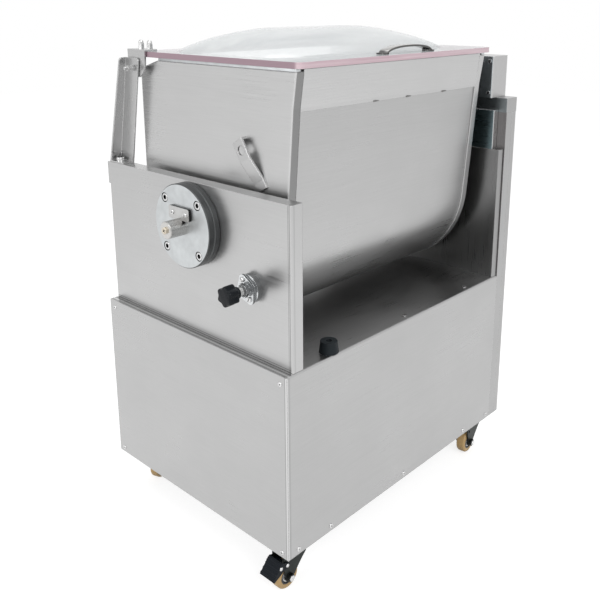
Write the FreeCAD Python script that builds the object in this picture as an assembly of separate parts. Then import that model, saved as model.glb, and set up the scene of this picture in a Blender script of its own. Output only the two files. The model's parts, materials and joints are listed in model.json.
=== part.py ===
# Tilting meat mixer on casters. All sizes in millimetres, +Z up.
# X runs along the machine towards the drive housing, Y runs from the front to the rear.
# While it is being built, X is counted from the left end panel, Y from the front panel and
# Z from the underside of the cabinet. The last step moves the origin to the floor, under
# the middle of the whole machine.
import FreeCAD
import Part
import math
import os

V = FreeCAD.Vector

# Cabinet and sheet metal
cabinet_length = 526.0
cabinet_depth = 407.0
cabinet_height = 276.0
sheet = 1.5
upright_sheet = 2.0
seam_gap = 0.1
floor_sheet = 3.0
floor_flange = 25.0
panel_return = 16.0
deck_bend = 3.0
vent_length = 46.0
vent_height = 4.0
vent_pitch = 12.0
vent_rows = 8

# Uprights that carry the trough
upright_height = 227.0
upright_setback = 2.0
left_upright_inset = 13.2
left_upright_width = 21.4
right_upright_width = 14.3
rear_tab_height = 35.0
rear_tab_reach = 3.0

# Drive housing at the right end
housing_width = 32.0
housing_rise = 86.0
housing_seam = 18.0
cap_height = 24.0
guard_top_gap = 20.0
guard_front = 16.0
hinge_box_cover = 8.0
hinge_box_front = 22.0
hinge_box_rear_gap = 22.0
shaft_hole_gap = 2.5

# Tilting trough
axis_y = 198.0
axis_rise = 166.0
trough_left = 46.0
trough_right_gap = 42.0
trough_radius = 152.0
trough_sheet = 2.0
head_flange = 12.0
head_edge_radius = 2.0
wall_lean = 4.5
rim_rise = 220.0
rim_drop = 13.0
rim_drop_length = 42.0
lip_above_rim = 3.0
lip_height = 54.0
lip_top_rise = rim_rise + lip_above_rim
lip_foot_rise = lip_top_rise - lip_height
lip_lap = 5.0
lip_top_y = 23.0
lip_sheet = 2.0
tilt_limit = 82.0

# Trunnions, bushes and end flanges
journal_radius = 25.0
journal_bore = 13.0
journal_flange_radius = 42.0
journal_flange = 5.0
bush_wall = 5.0
sleeve_wall = 3.0
running_gap = 0.05
disc_radius = 60.5
disc_thickness = 10.0
disc_chamfer = 1.2
bolt_circle_radius = 51.0
cap_screw_head_radius = 6.5
cap_screw_head = 5.0
cap_screw_shank_radius = 4.0
cap_screw_socket = 6.0
counterbore_gap = 0.5
end_pin_radius = 12.5
end_pin_reach = 27.0
keeper_width = 45.0
keeper_height = 18.0
keeper_sheet = 4.0
keeper_slot = 2.0

# Agitator
shaft_radius = 22.0
shaft_end_gap = 4.0
socket_depth = 38.0
paddle_tip_radius = 140.0
paddle_count = 6
paddle_step = 60.0
paddle_arm_radius = 8.0
blade_height = 52.0
blade_width = 66.0
blade_thickness = 6.0
blade_pitch = 32.0

# Drive: worm gearbox, motor, sprockets and roller chain
chain_pitch = 12.7
chain_plate = 1.5
chain_half_height = 5.6
chain_roller_radius = 4.2
chain_lead_links = 2
driven_teeth = 30
driver_teeth = 15
sprocket_thickness = 7.0
sprocket_hub = 9.0
drive_shaft_radius = 12.5
driver_z = 112.0
gearbox_width = 76.0
gearbox_depth = 96.0
gearbox_top = 166.0
motor_radius = 42.0
motor_room = 33.0
motor_fins = 12
motor_flange = 12.0
fan_cowl = 22.0
fin_height = 7.0
fin_thickness = 2.4
gearbox_gap = 6.0
gearbox_foot = 14.0
gearbox_foot_reach = 12.0
gearbox_corner = 12.0
bearing_cover_radius = 34.0

# Index plunger and its two catches
plunger_radius = 138.0
plunger_angle = 207.7
plunger_pin_radius = 6.0
plunger_lift = 4.0
plunger_boss_radius = 20.0
plunger_boss = 8.2
plunger_plate = 3.2
plunger_plate_width = 28.0
plunger_screw_radius = 14.2
plunger_screw_angle = 61.5
plunger_collar_radius = 8.7
plunger_collar = 11.0
knob_radius = 15.8
knob_length = 23.0
knob_lobes = 6
knob_lobe_radius = 4.4
knob_hub = 6.0
knob_hub_radius = 8.0
catch_gap = 0.9
catch_width = 20.0
catch_sheet = 3.0
catch_flat = 30.0
catch_ramp = 34.0

# Lid, its hinge and handle
lid_left = 40.0
lid_right_gap = 36.0
lid_front = 14.0
lid_rear = 350.0
lid_gap = 4.5
lid_sheet_thickness = 8.0
lid_corner = 12.0
dome_side_border = 22.0
dome_front_border = 46.0
dome_rear_border = 16.0
dome_corner = 54.0
dome_shoulder = 109.0
dome_height = 41.7
dome_wall = 5.0
dome_fullness = 1.42
pin_y = 350.0
pin_drop = 16.5
pin_radius = 2.5
pin_nut_across = 8.0
pin_nut = 4.0
pin_clearance = 0.08
bracket_sheet = 3.0
bracket_gap = 0.8
bracket_front = 325.0
bracket_rear = 368.0
bracket_width = 22.6
ear_drop = 13.5
lid_nut_across = 8.0
lid_nut_height = 8.0
lid_nut_inset = 15.6
handle_offset = 22.0
handle_span = 110.0
handle_rise = 13.0
handle_width = 16.0
handle_strap = 3.5
handle_y = 36.0

# Hinge post on the left upright
post_sheet = 2.5
post_top_rise = 15.0
post_corner = 5.0
post_lean = 30.0
post_foot_front = 367.0
post_foot_rear = 402.0
post_leaf_foot = 20.6
post_leaf_top = 13.6

# Panel screws
panel_screw_radius = 3.5
panel_screw_head = 1.2
panel_screw_edge = 12.0
panel_screw_low = 8.0
panel_screw_end = 20.8
panel_screw_second = 88.0

# Rubber stop, push buttons and cable gland
bumper_x = 97.0
bumper_y = 14.0
bumper_foot_radius = 14.0
bumper_top_radius = 12.0
bumper_height = 16.5
bumper_well = 7.0
bumper_well_radius = 4.5
button_y = 78.0
button_top_drop = 49.0
button_pitch = 42.0
button_count = 3
button_radius = 11.0
button_travel = 4.0
gland_inset = 86.0
gland_z = 60.0
gland_bore_radius = 4.0
gland_reach = 24.0

# Casters
caster_height = 70.0
caster_inset_x = 42.0
caster_inset_y = 31.0
wheel_radius = 20.5
wheel_width = 16.0
tyre_round = 4.0
caster_trail = 20.0
fork_sheet = 2.5
fork_gap = 1.2
fork_head_radius = 17.0
fork_head = 8.0
fork_front = 13.0
fork_rear = 12.5
fork_shoulder = 24.0
axle_radius = 4.0
axle_boss = 7.5
axle_nut = 4.0
axle_nut_across = 11.0
swivel_gap = 0.3
plate_side = 54.0
plate_sheet = 3.0
plate_corner = 5.0
pedal_pivot_reach = 7.0
pedal_pivot_rise = 25.0
pedal_pin_radius = 2.5
pedal_sheet = 2.0
pedal_plate = 3.0
pedal_top = (36.0, 17.0)
pedal_low = (55.0, 37.0)
pedal_ribs = 4
pedal_rib = 1.0
caster_turn = {"front_left": 0.0, "front_right": 5.0, "rear_left": 200.0, "rear_right": 30.0}

# Worked out from the values above
total_length = cabinet_length + housing_width
upright_top = cabinet_height + upright_height
housing_height = upright_top + housing_rise
left_inner_x = left_upright_inset + left_upright_width
right_inner_x = cabinet_length - right_upright_width
axis_z = cabinet_height + axis_rise
trough_right = cabinet_length - trough_right_gap
rim_z = axis_z + rim_rise
lip_foot_z = axis_z + lip_foot_rise
lip_top_z = axis_z + lip_top_rise
lid_under_z = rim_z + lid_gap
lid_right = cabinet_length - lid_right_gap
pin_z = lid_under_z - pin_drop
post_top_z = pin_z + post_top_rise
handle_middle_x = (lid_left + lid_right) / 2 + handle_offset
button_top_z = housing_height - button_top_drop
gland_x = cabinet_length - gland_inset

parts = {}


def keep(name, *solids):
    """Stores the solids of one named piece."""
    parts[name] = list(solids)


def box(x0, x1, y0, y1, z0, z1):
    return Part.makeBox(x1 - x0, y1 - y0, z1 - z0, V(x0, y0, z0))


def rod_x(x0, x1, radius, y, z):
    return Part.makeCylinder(radius, x1 - x0, V(x0, y, z), V(1, 0, 0))


def rod_y(y0, y1, radius, x, z):
    return Part.makeCylinder(radius, y1 - y0, V(x, y0, z), V(0, 1, 0))


def rod_z(z0, z1, radius, x, y):
    return Part.makeCylinder(radius, z1 - z0, V(x, y, z0), V(0, 0, 1))


def tube_x(x0, x1, outer, inner, y, z):
    return rod_x(x0, x1, outer, y, z).cut(rod_x(x0, x1, inner, y, z))


def prism_x(outline, x0, x1):
    """Extrudes a list of (y, z) points along X."""
    points = [V(x0, y, z) for y, z in outline]
    face = Part.Face(Part.makePolygon(points + points[:1]))
    return face.extrude(V(x1 - x0, 0, 0))


def prism_y(outline, y0, y1):
    """Extrudes a list of (x, z) points along Y."""
    points = [V(x, y0, z) for x, z in outline]
    face = Part.Face(Part.makePolygon(points + points[:1]))
    return face.extrude(V(0, y1 - y0, 0))


def edges_along(shape, axis):
    """Returns the straight edges of a shape that run along one axis."""
    found = []
    for edge in shape.Edges:
        if len(edge.Vertexes) != 2:
            continue
        run = edge.Vertexes[1].Point - edge.Vertexes[0].Point
        if run.Length > 1e-6 and abs(run.dot(axis)) > 0.9999 * run.Length:
            found.append(edge)
    return found


def rounded_box(x0, x1, y0, y1, z0, z1, radius, axis):
    solid = box(x0, x1, y0, y1, z0, z1)
    return solid.makeFillet(radius, edges_along(solid, axis))


def hex_prism_x(x0, x1, across, y, z):
    corner = across / math.sqrt(3)
    outline = [(y + corner * math.cos(math.radians(a)), z + corner * math.sin(math.radians(a)))
               for a in range(0, 360, 60)]
    return prism_x(outline, x0, x1)


def polar(radius, angle):
    """A (y, z) point about the trunnion axis."""
    a = math.radians(angle)
    return axis_y + radius * math.cos(a), axis_z + radius * math.sin(a)


def front_wall_y(z, offset=0.0):
    """Outer face of the leaning front wall at one height."""
    lean = math.radians(wall_lean)
    radius = trough_radius + offset
    foot_y = axis_y - radius * math.cos(lean)
    foot_z = axis_z - radius * math.sin(lean)
    return foot_y - (z - foot_z) * math.tan(lean)


def trough_prism(x0, x1, offset, extra=0.0):
    """The space inside the trough's outline, moved out by offset and up by extra."""
    lean = math.radians(wall_lean)
    radius = trough_radius + offset
    foot = V(x0, axis_y - radius * math.cos(lean), axis_z - radius * math.sin(lean))
    bottom = V(x0, axis_y, axis_z - radius)
    rear = V(x0, axis_y + radius, axis_z)
    kink_z = lip_foot_z + lip_lap
    kink = V(x0, front_wall_y(kink_z, offset), kink_z)
    rim = V(x0, lip_top_y + lip_sheet - offset, rim_z)
    level = V(x0, axis_y + trough_radius - rim_drop_length, rim_z)
    corner = V(x0, axis_y + radius, rim_z - rim_drop)
    top = [rim, level, corner]
    if extra:
        top = [rim, V(x0, rim.y, rim_z + extra), V(x0, corner.y, rim_z + extra), corner]
    edges = [Part.Arc(foot, bottom, rear).toShape(), Part.makeLine(rear, corner)]
    chain = [corner] + top[-2::-1] + [kink, foot]
    for a, b in zip(chain, chain[1:]):
        edges.append(Part.makeLine(a, b))
    return Part.Face(Part.Wire(edges)).extrude(V(x1 - x0, 0, 0))


def make_cabinet():
    pan = box(sheet, cabinet_length - seam_gap, sheet + seam_gap, cabinet_depth - sheet - seam_gap,
              0, floor_flange)
    hollow = box(sheet + floor_sheet, cabinet_length - seam_gap - floor_sheet,
                 sheet + seam_gap + floor_sheet, cabinet_depth - sheet - seam_gap - floor_sheet,
                 floor_sheet, floor_flange + 1)
    keep("base_pan", pan.cut(hollow))

    plate = box(0, sheet, 0, cabinet_depth, 0, cabinet_height)
    inner = sheet + seam_gap
    under_deck = cabinet_height - deck_bend - seam_gap
    for y0 in (inner, cabinet_depth - inner - sheet):
        plate = plate.fuse(box(0, panel_return, y0, y0 + sheet, floor_flange + seam_gap, under_deck))
    keep("left_end_panel", plate.removeSplitter())

    cover = box(inner, cabinet_length, 0, cabinet_depth, 0, cabinet_height)
    cover = cover.makeFillet(deck_bend, [e for e in edges_along(cover, V(1, 0, 0))
                                         if e.BoundBox.YMax < 1 and e.BoundBox.ZMin > 1])
    space = box(0, cabinet_length + 1, sheet, cabinet_depth + 1, -1, cabinet_height - sheet)
    space = space.makeFillet(deck_bend - sheet, [e for e in edges_along(space, V(1, 0, 0))
                                                 if e.BoundBox.YMax < sheet + 1 and e.BoundBox.ZMin > 1])
    keep("front_deck_cover", cover.cut(space))

    rear = box(inner, cabinet_length - seam_gap, cabinet_depth - sheet, cabinet_depth,
               0, cabinet_height - sheet - seam_gap)
    for column in (0.3, 0.52):
        for row in range(vent_rows):
            x = cabinet_length * column - vent_length / 2
            z = cabinet_height * 0.35 + row * vent_pitch
            slot = box(x, x + vent_length, cabinet_depth - 2 * sheet, cabinet_depth + 1, z, z + vent_height)
            rear = rear.cut(slot)
    keep("rear_panel", rear)


def upright(x0, x1):
    """A folded box with an open foot that stands on the deck."""
    y0 = upright_setback
    y1 = cabinet_depth - upright_setback
    shell = rounded_box(x0, x1, y0, y1, cabinet_height, upright_top, upright_sheet, V(0, 0, 1))
    w = upright_sheet
    return shell.cut(box(x0 + w, x1 - w, y0 + w, y1 - w, cabinet_height, upright_top - w))


def make_uprights():
    plunger_y, plunger_z = polar(plunger_radius, plunger_angle)
    sleeve = journal_radius + running_gap + bush_wall + sleeve_wall
    left = upright(left_upright_inset, left_inner_x)
    left = left.cut(rod_x(0, cabinet_length / 2, sleeve, axis_y, axis_z))
    left = left.cut(rod_x(0, cabinet_length / 2, plunger_pin_radius + pin_clearance, plunger_y, plunger_z))
    rear_y = cabinet_depth - upright_setback
    tab = box(left_upright_inset, left_upright_inset + upright_sheet, rear_y - 2 * upright_sheet,
              rear_y + rear_tab_reach, upright_top - rear_tab_height, upright_top)
    keep("left_upright", left.fuse(tab).removeSplitter())
    bush = journal_radius + running_gap + bush_wall
    right = upright(right_inner_x, cabinet_length - seam_gap)
    keep("right_upright", right.cut(rod_x(right_inner_x - 1, cabinet_length, bush, axis_y, axis_z)))


def make_drive_housing():
    x0 = cabinet_length
    x1 = total_length
    seam = x0 + housing_seam
    body_top = housing_height - cap_height
    body = box(x0, seam, 0, cabinet_depth, 0, body_top)
    body = body.cut(box(x0 + sheet, seam + 1, sheet, cabinet_depth - sheet, sheet, body_top + 1))
    body = body.cut(rod_x(x0 - 1, x0 + 2 * sheet, drive_shaft_radius + shaft_hole_gap, axis_y, axis_z))
    body = body.cut(rod_x(x0 - 1, x0 + 2 * sheet, drive_shaft_radius + shaft_hole_gap, axis_y, driver_z))
    keep("drive_housing", body)

    cover = rounded_box(seam + seam_gap, x1, 0, cabinet_depth, 0, body_top, deck_bend, V(0, 0, 1))
    cover = cover.cut(box(seam - deck_bend, x1 - sheet, sheet, cabinet_depth - sheet, sheet, body_top + 1))
    square = box(seam + seam_gap, seam + deck_bend + 1, 0, cabinet_depth, 0, body_top)
    lips = square.cut(box(seam, seam + deck_bend + 2, sheet, cabinet_depth - sheet, sheet, body_top + 1))
    cover = cover.fuse(lips).removeSplitter()
    for number in range(button_count):
        z = button_top_z - number * button_pitch
        cover = cover.cut(rod_x(x1 - 2 * sheet, x1 + 1, button_radius + 0.4, button_y, z))
    keep("housing_cover", cover)

    cap = rounded_box(x0, x1, 0, cabinet_depth, body_top + seam_gap, housing_height, sheet, V(0, 0, 1))
    cap = cap.cut(box(x0 + sheet, x1 - sheet, sheet, cabinet_depth - sheet, body_top, housing_height - sheet))
    keep("housing_cap", cap)

    guard_y1 = cabinet_depth - guard_front
    guard_z0 = upright_top + seam_gap
    guard_top = housing_height - guard_top_gap
    guard = rounded_box(right_inner_x, x0 - seam_gap, guard_front, guard_y1, guard_z0, guard_top, sheet,
                        V(0, 0, 1))
    guard = guard.cut(box(right_inner_x + sheet, x0 - seam_gap - sheet, guard_front + sheet,
                          guard_y1 - sheet, guard_z0, guard_top - sheet))
    keep("switch_guard", guard)

    top = pin_z + hinge_box_cover
    z0 = housing_height + seam_gap
    hinge_box_rear = cabinet_depth - hinge_box_rear_gap
    hinge_box = rounded_box(right_inner_x, x1, hinge_box_front, hinge_box_rear, z0, top,
                            deck_bend, V(0, 0, 1))
    w = upright_sheet
    hinge_box = hinge_box.cut(box(right_inner_x + w, x1 - w, hinge_box_front + w, hinge_box_rear - w,
                                  z0 + w, top - w))
    hinge_box = hinge_box.cut(rod_x(right_inner_x - 1, right_inner_x + 2 * w,
                                    pin_radius + pin_clearance, pin_y, pin_z))
    keep("hinge_box", hinge_box)


def make_trough():
    x0 = trough_left + trough_sheet
    x1 = trough_right - trough_sheet
    shell = trough_prism(x0, x1, 0).cut(trough_prism(x0, x1, -trough_sheet, 40))
    kink_z = lip_foot_z + lip_lap
    shell = shell.cut(box(x0 - 1, x1 + 1, 0, axis_y - trough_radius / 2, kink_z, rim_z + rim_rise))
    keep("trough_shell", shell)

    for side, a, b in (("left", trough_left, x0), ("right", trough_right, x1)):
        low, high = sorted((a, b))
        plate = trough_prism(low, high, trough_sheet)
        rim = sorted((b, b + head_flange * (1 if side == "left" else -1)))
        band = trough_prism(rim[0], rim[1], trough_sheet).cut(trough_prism(rim[0], rim[1], 0, 40))
        head = plate.fuse(band).removeSplitter()
        rounds = [e for e in head.Edges if abs(e.BoundBox.XMin - a) < 0.01 and abs(e.BoundBox.XMax - a) < 0.01
                  and e.BoundBox.ZMin < rim_z - rim_drop - 1 and e.BoundBox.ZMax < rim_z + 1
                  and e.BoundBox.DiagonalLength > 20]
        head = head.makeFillet(head_edge_radius, rounds)
        head = head.cut(rod_x(low - 1, high + 1, journal_bore, axis_y, axis_z))
        keep("trough_head_" + side, head)

    wall = front_wall_y(lip_foot_z)
    kink = front_wall_y(kink_z)
    lip = prism_x([(wall, lip_foot_z), (kink, kink_z), (lip_top_y + lip_sheet, lip_top_z),
                   (lip_top_y, lip_top_z), (kink - lip_sheet, kink_z), (wall - lip_sheet, lip_foot_z)],
                  x0 + head_flange, x1 - head_flange)
    keep("pouring_lip", lip)

    flange_x = trough_left - journal_flange
    left = tube_x(left_upright_inset - 0.8 * disc_thickness, trough_left, journal_radius, journal_bore,
                  axis_y, axis_z)
    left = left.fuse(tube_x(flange_x, trough_left, journal_flange_radius, journal_bore, axis_y, axis_z))
    keep("trunnion_left", left.removeSplitter())
    right = tube_x(trough_right, cabinet_length - sheet, journal_radius, journal_bore, axis_y, axis_z)
    right = right.fuse(tube_x(trough_right, trough_right + journal_flange, journal_flange_radius,
                              journal_bore, axis_y, axis_z))
    keep("trunnion_right", right.removeSplitter())

    catches = []
    for angle, way in ((plunger_angle - tilt_limit, 1), (plunger_angle, -1)):
        catches.append(make_catch(angle, way))
    keep("trough_catches", *catches)


def make_catch(angle, way):
    """A strap with a hole for the plunger and a ramp that leads up to it."""
    face = left_inner_x + catch_gap
    standoff = trough_left - face - catch_sheet
    half = catch_flat / 2
    run = math.sqrt(max(catch_ramp ** 2 - standoff ** 2, 1.0))
    s = catch_sheet
    side = [(face, -half), (face, half), (trough_left - s, half + run), (trough_left - s, half + run + 12),
            (trough_left, half + run + 12), (trough_left, half + run - 1),
            (face + s, half - 1), (face + s, -half)]
    foot = [(face + s, -half), (face + s, -half + s), (trough_left, -half + s), (trough_left, -half)]
    solids = []
    for outline in (side, foot):
        points = [V(x, t, -catch_width / 2) for x, t in outline]
        solids.append(Part.Face(Part.makePolygon(points + points[:1])).extrude(V(0, 0, catch_width)))
    strap = solids[0].fuse(solids[1]).removeSplitter()
    strap = strap.cut(rod_x(face - 1, face + s + 1, plunger_pin_radius + 0.6, 0, 0))
    y, z = polar(plunger_radius, angle)
    if way < 0:
        strap = strap.mirror(V(0, 0, 0), V(0, 1, 0))
    strap.rotate(V(0, 0, 0), V(1, 0, 0), angle + 90 + way * 22)
    strap.translate(V(0, y, z))
    return strap


def make_left_bearing():
    y, z = axis_y, axis_z
    bore = journal_radius + running_gap
    bush_outer = bore + bush_wall
    inner_face = left_upright_inset - disc_thickness
    outer_face = inner_face - disc_thickness
    disc = rod_x(inner_face, left_upright_inset, disc_radius, y, z)
    disc = chamfer_rims(disc, disc_radius)
    housing = disc.fuse(rod_x(left_upright_inset, left_inner_x, bush_outer + sleeve_wall, y, z))
    housing = housing.removeSplitter().cut(rod_x(inner_face - 1, left_inner_x + 1, bush_outer, y, z))
    cover = chamfer_rims(rod_x(outer_face, inner_face, disc_radius, y, z), disc_radius)
    cover = cover.cut(rod_x(outer_face - 1, inner_face + 1, end_pin_radius, y, z))
    screws = []
    seat = outer_face + cap_screw_head
    shank_end = left_upright_inset - 1
    for angle in (45, 135, 225, 315):
        sy, sz = polar(bolt_circle_radius, angle)
        cover = cover.cut(rod_x(outer_face - 1, seat, cap_screw_head_radius + counterbore_gap, sy, sz))
        hole = rod_x(outer_face, shank_end, cap_screw_shank_radius + running_gap, sy, sz)
        cover = cover.cut(hole)
        housing = housing.cut(hole)
        screw = rod_x(outer_face, seat, cap_screw_head_radius, sy, sz)
        screw = screw.fuse(rod_x(seat, shank_end, cap_screw_shank_radius, sy, sz)).removeSplitter()
        screws.append(screw.cut(hex_prism_x(outer_face - 1, outer_face + 3, cap_screw_socket, sy, sz)))
    keep("end_flange", cover)
    keep("flange_screws", *screws)
    keep("bearing_housing", housing)

    end_x = outer_face - end_pin_reach
    depth = trough_left + trough_sheet + shaft_end_gap + socket_depth - 2
    pin = rod_x(end_x, depth, end_pin_radius, y, z)
    pin = pin.makeChamfer(1.0, [e for e in pin.Edges if e.BoundBox.XMax < end_x + 0.01])
    keeper_z = z + end_pin_radius - keeper_slot
    slot_gap = 0.2
    pin = pin.cut(box(outer_face - keeper_sheet - slot_gap, outer_face, y - 20, y + 20,
                      keeper_z - slot_gap, z + end_pin_radius + 1))
    keep("end_pin", pin)
    keeper = rounded_box(outer_face - keeper_sheet, outer_face, y - keeper_width / 2, y + keeper_width / 2,
                         keeper_z, keeper_z + keeper_height, 3.0, V(1, 0, 0))
    keep("keeper_plate", keeper)

    right_outer = cabinet_length - seam_gap
    left_bush = tube_x(inner_face, left_inner_x, bush_outer, bore, y, z)
    right_bush = tube_x(right_inner_x, right_outer, bush_outer, bore, y, z)
    flange = tube_x(right_inner_x - bracket_sheet, right_inner_x, bush_outer + 8, bore, y, z)
    right_bush = right_bush.fuse(flange)
    keep("trunnion_bushes", left_bush, right_bush.removeSplitter())


def chamfer_rims(disc, radius):
    rims = [e for e in disc.Edges if e.BoundBox.YLength > 2 * radius - 0.1]
    return disc.makeChamfer(disc_chamfer, rims)


def make_agitator():
    y, z = axis_y, axis_z
    x0 = trough_left + trough_sheet + shaft_end_gap
    x1 = trough_right - trough_sheet - shaft_end_gap
    shaft = rod_x(x0, x1, shaft_radius, y, z)
    shaft = shaft.cut(rod_x(x0 - 1, x0 + socket_depth, end_pin_radius + running_gap, y, z))
    shaft = shaft.cut(rod_x(x1 - socket_depth, x1 + 1, drive_shaft_radius, y, z))
    keep("agitator_shaft", shaft)

    paddles = []
    margin = blade_width / 2 + 6
    length = x1 - x0 - 2 * margin
    for number in range(paddle_count):
        x = x0 + margin + length * number / (paddle_count - 1)
        top = z + paddle_tip_radius - blade_height / 2
        arm = rod_z(z + shaft_radius - 2, top, paddle_arm_radius, x, y)
        arm = arm.cut(rod_x(x - 20, x + 20, shaft_radius, y, z))
        blade = box(x - blade_width / 2, x + blade_width / 2, y - blade_thickness / 2,
                    y + blade_thickness / 2, z + paddle_tip_radius - blade_height, z + paddle_tip_radius + 5)
        blade = blade.makeFillet(10.0, [e for e in edges_along(blade, V(0, 1, 0))
                                        if e.BoundBox.ZMax < z + paddle_tip_radius])
        blade.rotate(V(x, y, z), V(0, 0, 1), blade_pitch * (1 if number < paddle_count / 2 else -1))
        blade = blade.common(rod_x(x0, x1, paddle_tip_radius, y, z))
        paddle = arm.fuse(blade).removeSplitter()
        paddle.rotate(V(x, y, z), V(1, 0, 0), paddle_step * number)
        paddles.append(paddle)
    keep("agitator_paddles", *paddles)

    sprocket_x = cabinet_length + housing_width / 2 - sprocket_thickness / 2
    shaft_end = total_length - sheet - 2
    keep("drive_shaft", rod_x(x1 - socket_depth + 1, shaft_end, drive_shaft_radius, y, z))
    keep("driven_sprocket", make_sprocket(driven_teeth, sprocket_x, y, z, drive_shaft_radius))

    output = make_sprocket(driver_teeth, sprocket_x, y, driver_z, 0)
    gearbox_x1 = cabinet_length - gearbox_gap
    output = output.fuse(rod_x(gearbox_x1 + 0.3, sprocket_x, drive_shaft_radius, y, driver_z))
    keep("motor_sprocket", output.removeSplitter())


def pitch_radius(teeth):
    return chain_pitch / (2 * math.sin(math.pi / teeth))


def make_sprocket(teeth, x0, y, z, bore):
    mid = pitch_radius(teeth)
    root = mid - chain_roller_radius
    tip = mid + chain_roller_radius * 0.8
    outline = []
    for number in range(teeth):
        for share, radius in ((0.0, root), (0.3, root), (0.48, tip), (0.82, tip)):
            a = 2 * math.pi * (number + share) / teeth
            outline.append((y + radius * math.cos(a), z + radius * math.sin(a)))
    wheel = prism_x(outline, x0, x0 + sprocket_thickness)
    wheel = wheel.fuse(rod_x(x0, x0 + sprocket_thickness + 4, drive_shaft_radius + sprocket_hub, y, z))
    wheel = wheel.removeSplitter()
    if bore:
        wheel = wheel.cut(rod_x(x0 - 1, x0 + sprocket_thickness + 5, bore, y, z))
    return wheel


def chain_loop(x0, x1, grow):
    """The space inside a loop round both sprockets, grow outside the pitch line."""
    top_radius = pitch_radius(driven_teeth) + grow
    low_radius = pitch_radius(driver_teeth) + grow
    slope = math.asin((top_radius - low_radius) / (axis_z - driver_z))

    def spot(radius, z, angle):
        return V(x0, axis_y + radius * math.cos(angle), z + radius * math.sin(angle))

    right_top = spot(top_radius, axis_z, -slope)
    left_top = spot(top_radius, axis_z, math.pi + slope)
    right_low = spot(low_radius, driver_z, -slope)
    left_low = spot(low_radius, driver_z, math.pi + slope)
    edges = [Part.Arc(right_top, spot(top_radius, axis_z, math.pi / 2), left_top).toShape(),
             Part.makeLine(left_top, left_low),
             Part.Arc(left_low, spot(low_radius, driver_z, -math.pi / 2), right_low).toShape(),
             Part.makeLine(right_low, right_top)]
    return Part.Face(Part.Wire(edges)).extrude(V(x1 - x0, 0, 0))


def make_chain():
    middle = cabinet_length + housing_width / 2
    inner = sprocket_thickness / 2 + 0.6
    chain = None
    for side in (-1, 1):
        x0, x1 = sorted((middle + side * inner, middle + side * (inner + chain_plate)))
        plate = chain_loop(x0, x1, chain_half_height).cut(chain_loop(x0, x1, -chain_half_height))
        chain = plate if chain is None else chain.fuse(plate)
    top_radius = pitch_radius(driven_teeth)
    low_radius = pitch_radius(driver_teeth)
    slope = math.asin((top_radius - low_radius) / (axis_z - driver_z))
    span = (axis_z - driver_z) * math.cos(slope)
    rollers = int(span / chain_pitch) - 2 * chain_lead_links
    for way in (1, -1):
        for number in range(rollers):
            share = (number + chain_lead_links + 0.5) * chain_pitch / span
            radius = low_radius + (top_radius - low_radius) * share
            y = axis_y + way * radius * math.cos(slope)
            z = driver_z + (axis_z - driver_z) * share - radius * math.sin(slope)
            chain = chain.fuse(rod_x(middle - inner - chain_plate / 2, middle + inner + chain_plate / 2,
                                     chain_roller_radius / 2, y, z))
    keep("drive_chain", chain.removeSplitter())


def make_motor():
    x1 = cabinet_length - gearbox_gap
    x0 = x1 - gearbox_width
    y0 = axis_y - gearbox_depth / 2
    y1 = axis_y + gearbox_depth / 2
    foot_top = floor_sheet + gearbox_foot
    case = rounded_box(x0, x1, y0, y1, foot_top, gearbox_top, gearbox_corner, V(1, 0, 0))
    case = case.fuse(box(x0 - gearbox_foot_reach, x1, y0 - gearbox_foot_reach, y1 + gearbox_foot_reach,
                         floor_sheet, foot_top))
    case = case.fuse(rod_x(x0 - gearbox_gap, x0, bearing_cover_radius, axis_y, driver_z))
    keep("gearbox", case.removeSplitter())
    middle_x = (x0 + x1) / 2
    motor_z = driver_z
    motor_end = cabinet_depth - motor_room
    cowl_start = motor_end - fan_cowl
    barrel = motor_radius - fin_height
    motor = rod_y(y1, y1 + motor_flange, motor_radius, middle_x, motor_z)
    motor = motor.fuse(rod_y(y1 + motor_flange, cowl_start, barrel, middle_x, motor_z))
    motor = motor.fuse(rod_y(cowl_start, motor_end, motor_radius, middle_x, motor_z))
    for number in range(motor_fins):
        fin = box(middle_x + barrel - 2, middle_x + motor_radius - 1, y1 + motor_flange / 2, cowl_start + 2,
                  motor_z - fin_thickness / 2, motor_z + fin_thickness / 2)
        fin.rotate(V(middle_x, y1, motor_z), V(0, 1, 0), 360.0 / motor_fins * number)
        motor = motor.fuse(fin)
    keep("gear_motor", motor.removeSplitter())


def oval_plate(x0, x1, y, z):
    """The two-screw plate of the plunger, tilted to the line through its screws."""
    end = 7.0
    reach = plunger_screw_radius
    side = plunger_plate_width / 2
    plate = rod_x(x0, x1, side, 0, 0)
    for way in (-1, 1):
        plate = plate.fuse(rod_x(x0, x1, end, way * reach, 0))
        lean = math.acos((side - end) / reach)
        for flank in (-1, 1):
            ny, nz = math.cos(lean), flank * math.sin(lean)
            plate = plate.fuse(prism_x([(0, 0), (way * side * ny, side * nz),
                                        (way * (reach + end * ny), end * nz), (way * reach, 0)], x0, x1))
    plate = plate.removeSplitter()
    plate.rotate(V(0, 0, 0), V(1, 0, 0), plunger_screw_angle)
    plate.translate(V(0, y, z))
    return plate


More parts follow.
